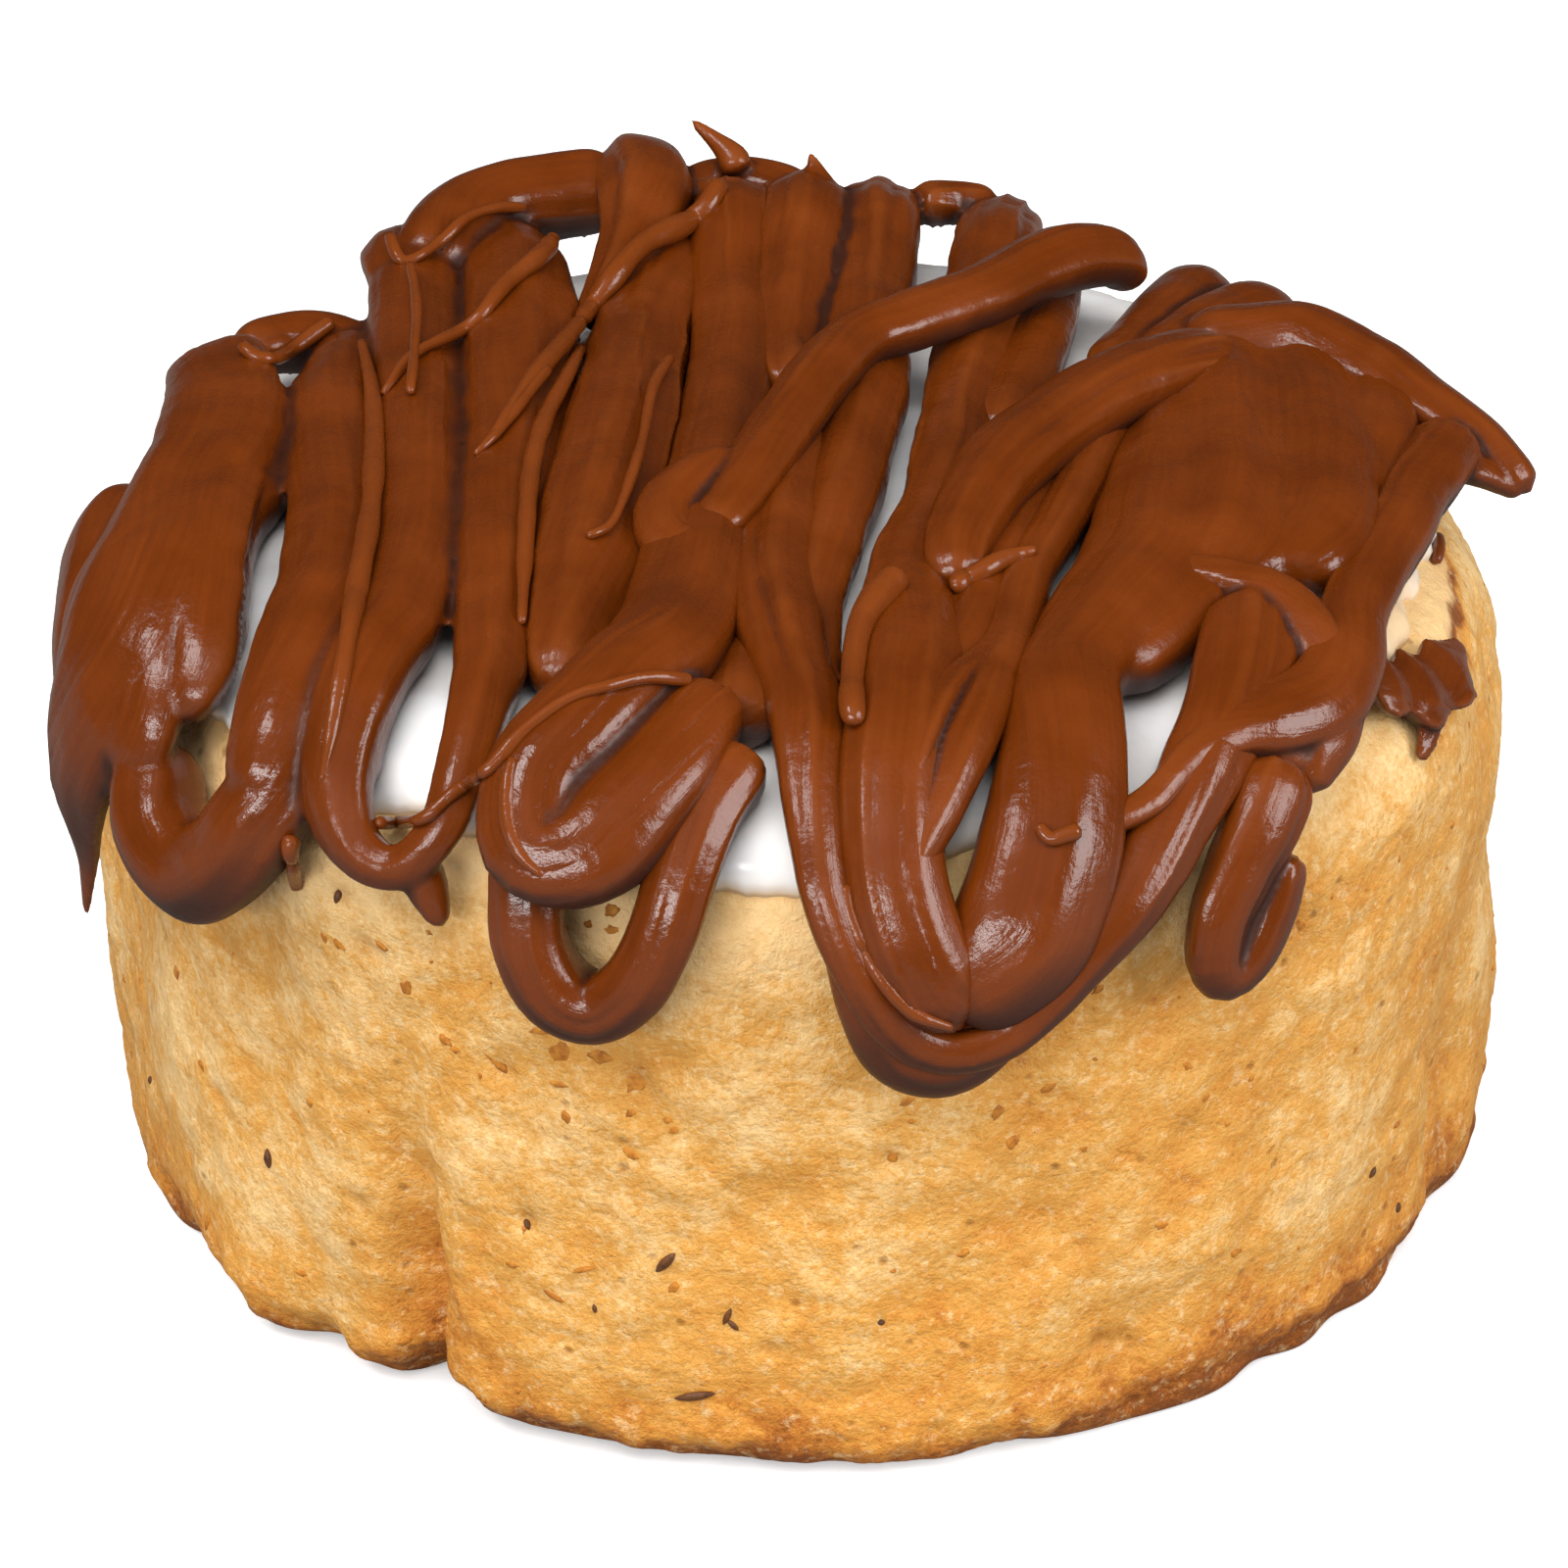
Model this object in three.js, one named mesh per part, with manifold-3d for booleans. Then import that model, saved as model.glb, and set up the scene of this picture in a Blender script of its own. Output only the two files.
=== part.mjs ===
// A chocolate sweet roll: a round bread bun, a cap of white icing and thick ropes of chocolate laid over it.
// Millimetres, +Z up. The front is -Y, the right is +X, and the foot of the bun stands on z = 0.
import * as THREE from "three";
import { mergeVertices } from "three/addons/utils/BufferGeometryUtils.js";
import Module from "manifold-3d";

const wasm = await Module();
wasm.setup();

// Driving sizes of the bun
const WALL_RADIUS = 56;
const TOP_HEIGHT = 53.5;
const TOP_FALL = 0.045;
const TOP_DOME = 2;
const BACK_FLAT = 0.03;
const EDGE_FRONT = 11;
const EDGE_BACK = 17;
const FOOT_RADIUS = 5;
const FOOT_TUCK_SIDE = 0.5;
const FOOT_TUCK_FRONT = 5.5;
const FOOT_TUCK_AT = -100;
const FOOT_TUCK_TURN = 38;
const BASE_RING = 24;

// Driving sizes of the icing, whose edge reaches furthest in front, and of the gap between touching pieces
const ICING_REACH = 49.5;
const ICING_FRONT = 4;
const ICING_SIDE = 1.5;
const ICING_THICK = 1.8;
const ICING_SUNK = 0.8;
const ICING_LIP = 4;
const GAP = 0.3;

// How finely each surface is cut
const TURNS = 56;
const ROPE_SIDES = 8;
const THIN_SIDES = 6;
const THIN = 2.45;
const STRAIGHT_STEP = 14;
const TURN_STEP = 0.64;
const FINE_STEPS = 240;
const COARSE = 0.13;
const FACET_GROW = 1.04;

// Baked-in features of the bun's side: azimuth in degrees, height and size in mm.
// A positive depth is a dent, and a negative one is a bulge.
const FEATURES = [
  // the cleft at the front left, and the darker fold beside it
  { at: -122, turn: 2.6, z: 8, rise: 17, depth: 3.4 },
  { at: -131, turn: 6, z: 4, rise: 12, depth: 1.6 },
  // the lobe of the foot left of the cleft
  { at: -139, turn: 8, z: 3, rise: 8, depth: -1.4 },
  // the broad valley down the left side
  { at: -163, turn: 9, z: 30, rise: 15, depth: 1.5 },
  // the fold at the right, with its bulge behind
  { at: -24, turn: 5, z: 14, rise: 15, depth: 1.6 },
  { at: -8, turn: 12, z: 12, rise: 9, depth: -0.8 },
  { at: -5, turn: 22, z: 29, rise: 9, depth: 0.9 },
  // the seam of the outer coil at the right
  { at: -14, turn: 9, z: 44, rise: 4, depth: 1 },
  // soft dimples in front
  { at: -95, turn: 5, z: 19, rise: 6, depth: 0.7 },
  { at: -64, turn: 5, z: 10, rise: 5, depth: 0.8 },
];

// The scallops of the baked foot: the half width of a notch in degrees, then each one's azimuth and depth
const NOTCH_TURN = 3.2;
const NOTCHES = [
  [-150, 1.6],
  [-142, 1.4],
  [-133, 1.2],
  [-121, 3.2],
  [-74, 1.2],
  [-50, 1.4],
  [-41, 1],
  [-31, 1.4],
  [-22, 0.6],
  [-9, 1.2],
  [22, 1.6],
  [58, 1.3],
  [97, 1.7],
  [139, 1.4],
  [172, 1.8],
];

// The ropes of chocolate. Each point is [across, along, lift, half width] in mm: the first two are unrolled
// over the bun from the middle of its top, down over the rim, and the lift is measured square to the bun.
const ROPES = [
  // the broad ropes from the back to the front, from the left to the right
  { flat: 0.8, path: [[-46, -4, 5, 3], [-49.5, -10, 5, 4], [-51, -18, 5, 4], [-52.5, -27, 4.6, 3]] },
  {
    flat: 0.85,
    path: [
      [-43.5, 14, 6, 4.4], [-44.6, 6, 5.8, 4.8], [-44.8, -5, 5.6, 5.2], [-44.8, -15, 5.8, 5.9],
      [-45, -23, 5.8, 6.3], [-47.5, -28, 5.6, 6], [-51.5, -29.5, 5.4, 4.8], [-55.5, -31, 5, 3.4],
      [-59.2, -32.6, 5, 2.1], [-63, -34.6, 5.4, 0.9],
    ],
  },
  {
    flat: 0.85,
    path: [
      [-46, -32, 4.2, 3.2], [-47.3, -37, 4.5, 3.7], [-45, -41.8, 4.6, 3.9], [-40.5, -43, 4.8, 3.9],
      [-36.5, -42, 4.8, 3.7], [-33.5, -40, 4.6, 3.2],
    ],
  },
  {
    flat: 0.85,
    path: [
      [-37, 21, 5.4, 3.2], [-38.3, 13, 5.6, 4], [-38.4, 2, 5.5, 4.2], [-36.7, -10, 5.4, 4],
      [-35.6, -20, 5.4, 3.9], [-35.2, -29, 5.4, 3.6], [-35.2, -36, 5.8, 3.6], [-36.5, -40, 6.3, 3],
      [-38, -42.5, 6.4, 2.2],
    ],
  },
  { flat: 0.9, path: [[-43.5, 15, 6, 3], [-41, 19, 5.6, 2.8], [-37, 21.5, 5.4, 2.8], [-33, 22, 5.4, 2.6]] },
  {
    flat: 0.85,
    path: [
      [-32, 36, 4.5, 2.8], [-32.4, 31, 8, 3.7], [-32, 24, 7, 4], [-31, 14, 6, 3.9], [-30, 2, 5.5, 3.8],
      [-29.2, -10, 5.4, 3.8], [-29, -22, 5.4, 3.8], [-29.6, -32, 5.4, 3.7], [-30.8, -41, 5.6, 3.7],
      [-30.6, -45.5, 5.3, 3.4], [-28.5, -49, 4.9, 3.1], [-25, -49.8, 4.9, 3], [-22.8, -47.5, 5.2, 2.9],
      [-22.3, -42, 5.4, 2.8], [-22.6, -30, 5.4, 3.1], [-22.7, -17, 5.4, 3.6], [-22.2, -4, 5.4, 4.1],
      [-21.9, 8, 5.5, 4.5], [-21.8, 19, 5.7, 4.8], [-22, 28, 6.4, 4.6], [-22.3, 35, 7, 3.8],
    ],
  },
  // the ropes that lie along the back rim
  {
    flat: 1,
    path: [
      [-31, 27, 8.4, 3], [-29, 30.5, 9.6, 3.5], [-24.5, 35, 10, 3.7], [-19, 37.5, 10, 3.8],
      [-13, 38.5, 9.8, 3.8],
    ],
  },
  {
    flat: 0.95,
    path: [
      [-12.5, 47, 4, 3.4], [-12.8, 41, 9.2, 4.4], [-13.4, 34.5, 10.6, 4.3], [-14.3, 28.5, 9.3, 3.5],
      [-15.7, 22.5, 7.4, 2.7], [-17.6, 17.5, 5.6, 1.8],
    ],
  },
  // the broad middle ropes
  {
    flat: 0.8,
    path: [
      [-9.8, 36, 8, 3.6], [-11, 30, 6.6, 4.2], [-12.8, 18, 5.5, 4.2], [-13.7, 4, 5.3, 4.5],
      [-15, -10, 5.3, 4.9], [-16, -21, 5.3, 4.8], [-16.6, -31, 5.3, 3.9], [-17.6, -40, 5, 2.6],
    ],
  },
  {
    flat: 0.85,
    path: [
      [-5.5, 44, 4, 3], [-5.6, 38.5, 8, 3.4], [-5.8, 33, 9.4, 3.6], [-5.8, 25, 7, 3.7],
      [-5.6, 12, 5.5, 3.6], [-6.2, 0, 5.3, 3.6], [-7, -13, 5.4, 3.9], [-7.8, -24, 5.5, 4.3],
      [-9, -33, 6, 4.6], [-10.6, -41, 7.4, 4.3], [-14, -45.8, 8.2, 3.8], [-17.4, -48.3, 8, 3.6],
      [-17.6, -51, 7.4, 3.8], [-14.6, -52, 6.9, 4.3], [-11.6, -50.6, 6.7, 4.4], [-8.6, -48, 6.5, 3.8],
      [-6.4, -44, 6.2, 2.7],
    ],
  },
  {
    flat: 0.9,
    path: [
      [-11, 39.5, 9, 1.8], [-7, 40.5, 9.6, 2.5], [-3, 40, 9.4, 2.6], [0.5, 38.5, 8.6, 2.4],
    ],
  },
  { flat: 1, path: [[-11, 37.5, 9.6, 1.4], [-8, 36.5, 10.4, 1.5], [-5, 35, 11, 1.4]] },
  {
    flat: 0.9,
    path: [
      [0.2, 44, 4, 3], [0.2, 38, 8, 3.9], [-0.2, 32.5, 9.3, 4], [-0.8, 24, 7.4, 3.6],
      [-1.2, 14, 5.8, 3.2], [-0.9, 4, 5.2, 2.8],
    ],
  },
  {
    flat: 0.9,
    path: [
      [7.8, 46, 4, 3.4], [7.7, 40, 7.4, 4.1], [7.4, 34, 9.4, 4.3], [6.5, 24, 7, 4.1],
      [5.3, 13, 5.6, 3.9], [4.2, 1, 5.4, 3.6], [2.9, -10, 5.4, 3.4], [1.7, -20, 5.3, 3],
      [1, -30, 5.2, 2.3], [1.6, -41, 4.8, 1.2],
    ],
  },
  { flat: 1, path: [[9.5, 38.5, 8, 2.4], [12.5, 39.5, 7.6, 2.1], [15.5, 37.5, 7.4, 2.4]] },
  // the short rope that shows between the fold and the front arms
  {
    flat: 0.85,
    path: [
      [-3.2, -32, 4.4, 2], [-3.6, -37, 4.6, 2.6], [-4.2, -42, 4.9, 2.9], [-4.6, -46, 5, 2.8],
    ],
  },
  // the two arms that run down in front from the middle, and the long thin swag that hangs from the first
  {
    flat: 0.9,
    path: [
      [-0.3, 1, 5, 2.8], [-1.2, -9, 5.5, 3.2], [-2.2, -19, 5.7, 3.3], [-2.7, -29, 5.8, 3.3],
      [-1.6, -38, 6, 3.2], [0, -46, 6.2, 2.8], [0.3, -51, 6, 2.2], [1.2, -55, 6, 1.9],
      [3.3, -58.5, 5.9, 1.8], [6.2, -61.3, 5.8, 1.8], [9.5, -63, 5.8, 1.8], [13, -62, 5.8, 1.8],
      [17, -59.6, 5.8, 1.9], [20.4, -55, 5.7, 2.3], [23.4, -51, 5.6, 2.6], [26.5, -46.3, 5.6, 2.9],
      [28.8, -41, 5.7, 3.5], [31, -36, 6, 3.7], [32.6, -30.5, 6.2, 3.4],
    ],
  },
  {
    flat: 0.85,
    path: [
      [16.6, 43.5, 4, 3.4], [16.4, 38, 6.8, 3.8], [16, 32, 8.4, 3.9], [15, 23, 6.8, 3.7],
      [13.6, 13, 5.6, 3.6], [11.8, 3, 5.4, 3.4], [9.8, -7, 5.3, 3], [8, -18, 5.3, 2.7],
      [7.4, -28, 5.4, 3.3], [7.4, -37, 5.7, 4.2], [6.4, -45, 6.1, 4.2], [5.2, -51, 6, 4],
      [6, -56, 5.7, 4], [8.5, -59.6, 5.5, 3.8], [11.5, -60.4, 5.4, 3.4],
    ],
  },
  // the ropes under the two big crossings at the right
  {
    flat: 0.85,
    path: [
      [21, 33, 4, 2.4], [20.6, 27, 5.4, 2.8], [19.3, 18, 5.3, 2.8], [17.4, 8, 5.2, 2.8],
      [14.8, -3, 5, 2.6],
    ],
  },
  {
    flat: 0.85,
    path: [
      [32, 34, 2.6, 2.8], [31.3, 28.5, 5, 3.2], [29.6, 23.5, 5.4, 3.2], [26.8, 17, 5.3, 3.1],
      [23.5, 9, 5.2, 2.9],
    ],
  },
  {
    flat: 0.85,
    path: [
      [38.5, 28, 3, 2.8], [36.4, 24.5, 5, 3.4], [33.4, 19.5, 5.6, 3.4], [30, 14, 5.6, 3.2],
      [27, 8.5, 5.4, 3],
    ],
  },
  // the crossings
  {
    flat: 0.9,
    path: [
      [28.4, 26, 5, 2.4], [27.4, 24.5, 8.6, 3], [24, 22.5, 10.2, 3.1], [19.5, 18.5, 10.6, 3.1],
      [13.9, 12.5, 10.3, 2.9], [8.3, 8, 10, 2.8], [4.5, 4.8, 9.8, 2.7], [1.4, -1.3, 9.5, 2.7],
      [-1, -7.5, 9, 2.7], [-3.2, -14, 8.5, 2.6], [-5.4, -20, 8, 2.5], [-7.4, -24, 7.6, 2.2],
    ],
  },
  {
    flat: 0.9,
    path: [
      [-5, -14, 8.4, 2.2], [-8.2, -17.5, 8.2, 2.5], [-10.2, -22, 7.6, 2.6], [-9, -26, 7.3, 2.6],
      [-6, -26, 7.2, 2.4],
    ],
  },
  {
    flat: 0.85,
    path: [
      [33.5, 7, 8, 3.4], [28.5, 3, 8.6, 3.7], [23.7, -2, 8.8, 3.7], [19, -8.3, 8.8, 3.6],
      [15, -15, 8.6, 3.4], [12.1, -22, 8.1, 3], [10.9, -27.5, 7.6, 2.5], [11, -30.5, 6.6, 2],
    ],
  },
  // the sheet at the right, made of side by side ropes, and its narrow arms to the middle
  {
    flat: 0.85,
    path: [
      [21.5, -4, 5, 2.8], [17.4, -16, 5.2, 3.2], [14.2, -26, 5.2, 3.2], [12, -35, 5.3, 3],
      [10, -43.5, 5.3, 2.4],
    ],
  },
  {
    flat: 0.95,
    path: [
      [24.4, -1.5, 6.6, 2], [21.4, -11, 6.5, 2.1], [18.7, -19.5, 6.4, 2.1], [16, -28, 6.3, 2.2],
      [14.5, -36, 6.3, 2.2], [12.9, -43, 6.8, 2.1], [10.7, -47.5, 7.1, 2], [8.4, -51, 7.2, 1.9],
      [6, -54, 7, 1.7], [3.6, -56.4, 6.6, 1.4],
    ],
  },
  {
    flat: 0.95,
    path: [
      [14, -37, 6, 1.8], [11.8, -42, 6.8, 1.9], [8.8, -46, 7.3, 1.9], [6, -51, 7.3, 1.8],
      [3.6, -55, 6.8, 1.5],
    ],
  },
  {
    flat: 0.8,
    path: [
      [29.4, 4, 5.8, 3.4], [28, -6, 6, 4.1], [26.3, -16, 6.2, 4.6], [24.4, -26, 6.1, 4.8],
      [21, -34.5, 6.1, 4.4], [17.6, -42, 6.1, 4], [16.4, -47.5, 5.9, 4.1], [15.9, -51.5, 5.5, 4.1],
      [14.6, -55.5, 5.2, 4], [11.8, -59, 5, 3.4],
    ],
  },
  {
    flat: 0.8,
    path: [
      [33.5, 12, 6, 3.6], [33, 1, 6.5, 4.3], [32.3, -11, 6.6, 4.5], [31.2, -21, 6.4, 4.5],
      [30.6, -29.5, 6, 4.2],
    ],
  },
  {
    flat: 0.8,
    path: [
      [38.5, 11, 6, 3.6], [39, 1, 6.4, 4.1], [38.8, -11, 6.5, 4.1], [37.8, -21, 6.5, 3.9],
      [35.5, -27.5, 6.6, 3.2],
    ],
  },
  {
    flat: 0.8,
    path: [
      [44.5, 9, 5.6, 3.2], [43.8, 0, 6, 3.4], [42.5, -9, 5.8, 3.2], [41.2, -16, 5.2, 2.4],
    ],
  },
  // the long fold to the point at the right
  {
    flat: 0.85,
    path: [
      [30, 13, 6.6, 3.2], [35, 12, 6.8, 3.6], [39.6, 9.2, 6.8, 3.6], [43.6, 5.4, 6.8, 3.4],
      [47, 2, 6.9, 3], [50, -0.8, 7, 2.4], [52.4, -3, 7, 1.7],
    ],
  },
  // the rope down from that point, its band across the front and the thin tail of the band
  {
    flat: 0.9,
    path: [
      [48, -0.5, 6.8, 2.8], [46.6, -5.5, 6.4, 3], [44.8, -11, 6.2, 2.9], [43, -17, 6.1, 2.9],
      [40.6, -24, 6.1, 2.9], [38.8, -30, 6.3, 2.8], [37, -34.5, 6.5, 3.1], [34.4, -38.6, 6.7, 3.6],
      [31, -41.5, 7, 3], [28, -43, 7.2, 2.1], [25.2, -44.8, 7.4, 1.4], [21.5, -48.2, 7.3, 1.2],
      [17, -50.8, 7, 1],
    ],
  },
  // the raised lip over the front of the sheet
  {
    flat: 0.9,
    path: [
      [26.4, -28.5, 7.4, 1.8], [30, -30.6, 7.8, 2.3], [33.2, -31.8, 7.8, 2.5], [35.4, -34, 7.4, 2.4],
      [36, -37, 6.6, 2.2],
    ],
  },
  // the hanging loops: the big one at the left, the small one at the right, the deep one under the thin swag
  {
    flat: 0.95,
    path: [
      [-18, -50, 5, 2.8], [-18.6, -54, 4.3, 2.9], [-18.5, -57.2, 4, 2.9], [-17, -59.5, 3.9, 2.8],
      [-14.6, -60.2, 3.9, 2.7], [-12, -59.2, 4, 2.7], [-10, -56.8, 4.2, 2.8], [-8.4, -53.8, 4.6, 2.9],
      [-6.4, -50.4, 5, 2.9], [-3.6, -47.6, 5.4, 2.7],
    ],
  },
  {
    flat: 0.9,
    path: [
      [31.5, -42, 5.8, 3.2], [29.6, -46, 5.3, 3], [28.2, -49, 4.6, 2.5], [27.7, -51.5, 4.2, 2.2],
      [28.6, -54, 4, 2.2], [30.8, -54.7, 4, 2.2], [32.2, -52.6, 4.1, 2.2], [32.6, -49.8, 4.3, 2.1],
      [32.5, -46.5, 4.8, 2],
    ],
  },
  {
    flat: 1,
    path: [
      [2.2, -52, 4, 2.4], [3.2, -57.5, 3.8, 2.8], [4.8, -61.4, 3.7, 3], [7, -64.2, 3.7, 3],
      [10.4, -64.6, 3.7, 3], [13.8, -62, 3.8, 2.8], [16.8, -58, 4, 2.4],
    ],
  },
  // the smear on the crust at the right
  {
    flat: 0.62,
    path: [
      [37.5, -30, 4.4, 2], [41, -29.8, 3.2, 2.6], [44.4, -29, 2.6, 2.6], [46.8, -26, 1.8, 1.8],
    ],
  },
  // the spur under the turn at the left
  { flat: 0.9, path: [[-26.4, -49, 4, 2.2], [-26, -51.5, 3.2, 1.5], [-25.8, -53.5, 2.6, 0.7]] },
];

// Straight out pulled points at the back: [across, along, lift, half width], base first
const SPIKES = [
  [[-5, 40.5, 10.4, 2], [-6.4, 41, 12.8, 1.3], [-8.6, 41.5, 15, 0.5]],
  [[0.2, 37, 12.4, 1.3], [-0.2, 37.6, 14.6, 0.8], [-0.8, 38, 16.2, 0.4]],
];

const turns = Array.from({ length: TURNS }, (_, j) => (-j * 2 * Math.PI) / TURNS);
const bell = (x) => Math.exp(-x * x);

// How far apart an azimuth in radians and one in degrees are, in degrees
const degreesBetween = (turn, at) =>
  THREE.MathUtils.radToDeg(Math.acos(Math.cos(turn - THREE.MathUtils.degToRad(at))));

// How far the bun's side is dented at an azimuth (radians) and a height
function dent(turn, z) {
  let deep = 0;
  for (const f of FEATURES) {
    deep += f.depth * bell(degreesBetween(turn, f.at) / f.turn) * bell((z - f.z) / f.rise);
  }
  return deep;
}

// How far the foot is tucked in at an azimuth, most in front
function footTuck(turn) {
  const share = bell(degreesBetween(turn, FOOT_TUCK_AT) / FOOT_TUCK_TURN);
  return THREE.MathUtils.lerp(FOOT_TUCK_SIDE, FOOT_TUCK_FRONT, share);
}

// The depth of the foot's scallops at an azimuth
function scallop(turn) {
  let deep = 0;
  for (const [at, depth] of NOTCHES) {
    deep += depth * bell(degreesBetween(turn, at) / NOTCH_TURN);
  }
  return deep;
}

// The radius of the rim's rounding, and of the flat top inside it
function rim(turn) {
  const share = (0.5 + 0.5 * Math.sin(turn)) ** 2;
  const edge = EDGE_FRONT + (EDGE_BACK - EDGE_FRONT) * share;
  const wall = WALL_RADIUS * (1 - BACK_FLAT * Math.max(0, Math.sin(turn)) ** 2);
  return { edge, flat: wall - edge };
}

// A point of the bun's skin, lifted off it: far is the way from the top's middle, over the rim and down
function skin(turn, far, lift = 0, dented = true) {
  const { edge, flat } = rim(turn);
  const bend = THREE.MathUtils.clamp((far - flat) / edge, 0, Math.PI / 2);
  const down = Math.max(far - flat - (edge * Math.PI) / 2, 0);
  const level = Math.min(far, flat);
  let r = level + (edge + lift) * Math.sin(bend);
  const top = TOP_HEIGHT - TOP_FALL * level * Math.sin(turn) + TOP_DOME * (1 - (level / flat) ** 2);
  const z = top - edge * (1 - Math.cos(bend)) - down + lift * Math.cos(bend);
  if (dented) r -= dent(turn, z) * Math.sin(bend);
  return new THREE.Vector3(r * Math.cos(turn), r * Math.sin(turn), z);
}

// The same from the unrolled distances across and along
const laid = (p, q, lift) => skin(Math.atan2(q, p), Math.hypot(p, q), lift, false);

// A closed mesh from rings of points, with a point at each end
function closed(first, rings, last) {
  const n = rings[0].length;
  const points = [first, ...rings.flat(), last];
  const faces = [];
  for (let j = 0; j < n; j++) faces.push(0, 1 + ((j + 1) % n), 1 + j);
  for (let i = 0; i + 1 < rings.length; i++) {
    for (let j = 0; j < n; j++) {
      const a = 1 + i * n + j;
      const b = 1 + i * n + ((j + 1) % n);
      faces.push(a, b, a + n, b, b + n, a + n);
    }
  }
  const base = 1 + (rings.length - 1) * n;
  for (let j = 0; j < n; j++) faces.push(base + j, base + ((j + 1) % n), points.length - 1);
  const geometry = new THREE.BufferGeometry();
  const numbers = points.flatMap((v) => [v.x, v.y, v.z]);
  geometry.setAttribute("position", new THREE.Float32BufferAttribute(numbers, 3));
  geometry.setIndex(faces);
  return geometry;
}

// The bun, grown for the room that its neighbours keep
function bunShape(grow = 0) {
  const rings = [];
  for (const share of [0.33, 0.66, 1]) rings.push(turns.map((t) => skin(t, rim(t).flat * share, grow)));
  for (const share of [0.2, 0.4, 0.6, 0.8, 1]) {
    rings.push(turns.map((t) => skin(t, rim(t).flat + (rim(t).edge * share * Math.PI) / 2, grow)));
  }
  const wallEnd = (t) => rim(t).flat + (rim(t).edge * Math.PI) / 2;
  const sideTop = (t) => skin(t, wallEnd(t), 0, false).z;
  for (const share of [0.2, 0.4, 0.58, 0.74, 0.88, 1]) {
    rings.push(
      turns.map((t) => {
        const z = THREE.MathUtils.lerp(sideTop(t), FOOT_RADIUS, share);
        return skin(t, wallEnd(t) + sideTop(t) - z, grow);
      }),
    );
  }
  for (const angle of [30, 60, 90]) {
    const a = (angle * Math.PI) / 180;
    rings.push(
      turns.map((t) => {
        const side = skin(t, wallEnd(t) + sideTop(t) - FOOT_RADIUS, grow);
        const z = FOOT_RADIUS * (1 - Math.sin(a));
        const tuck = footTuck(t) * (1 - Math.cos(a)) + scallop(t) * Math.sin(a);
        const r = Math.hypot(side.x, side.y) - tuck;
        return new THREE.Vector3(r * Math.cos(t), r * Math.sin(t), z - grow * Math.sin(a));
      }),
    );
  }
  rings.push(turns.map((t) => new THREE.Vector3(BASE_RING * Math.cos(t), BASE_RING * Math.sin(t), -grow)));
  return closed(skin(0, 0, grow), rings, new THREE.Vector3(0, 0, -grow));
}

// The way from the top's middle to the icing's wavy edge
function icingReach(turn) {
  const front = 0.5 - 0.5 * Math.sin(turn);
  const waves = 0.9 * Math.sin(3 * turn + 1) + 0.7 * Math.sin(7 * turn) + 0.5 * Math.sin(11 * turn + 2);
  return ICING_REACH + ICING_FRONT * front ** 2 - ICING_SIDE * Math.cos(turn) + waves;
}

// The icing before the bun's room is cut from it: a cap with a rounded lip, sunk a little into the bun
function icingShape(grow = 0) {
  const shares = [0.3, 0.6, 0.78, 0.87, 0.93, 0.97, 1];
  const upper = shares.map((share) =>
    turns.map((t) => {
      const reach = icingReach(t) + grow;
      const left = reach * (1 - share);
      const round = left < ICING_LIP ? Math.sqrt(1 - (1 - left / ICING_LIP) ** 2) : 1;
      return skin(t, reach * share, GAP + 0.3 + (ICING_THICK - 0.3) * round + grow);
    }),
  );
  const lower = [1, 0.93, 0.78, 0.6, 0.3].map((share) =>
    turns.map((t) => skin(t, (icingReach(t) + grow) * share, -ICING_SUNK)),
  );
  return closed(skin(0, 0, GAP + ICING_THICK + grow), [...upper, ...lower], skin(0, 0, -ICING_SUNK));
}

// The place in a rising list, in steps and parts of a step, where it reaches a value
function stepOf(list, value) {
  let i = 1;
  while (i < list.length - 1 && list[i] < value) i++;
  return i - 1 + (value - list[i - 1]) / (list[i] - list[i - 1]);
}

// The list's value at such a place
const valueAt = (list, step) => {
  const i = Math.min(Math.floor(step), list.length - 2);
  return THREE.MathUtils.lerp(list[i], list[i + 1], step - i);
};

const smooth = (points) => new THREE.CatmullRomCurve3(points, false, "centripetal");

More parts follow.
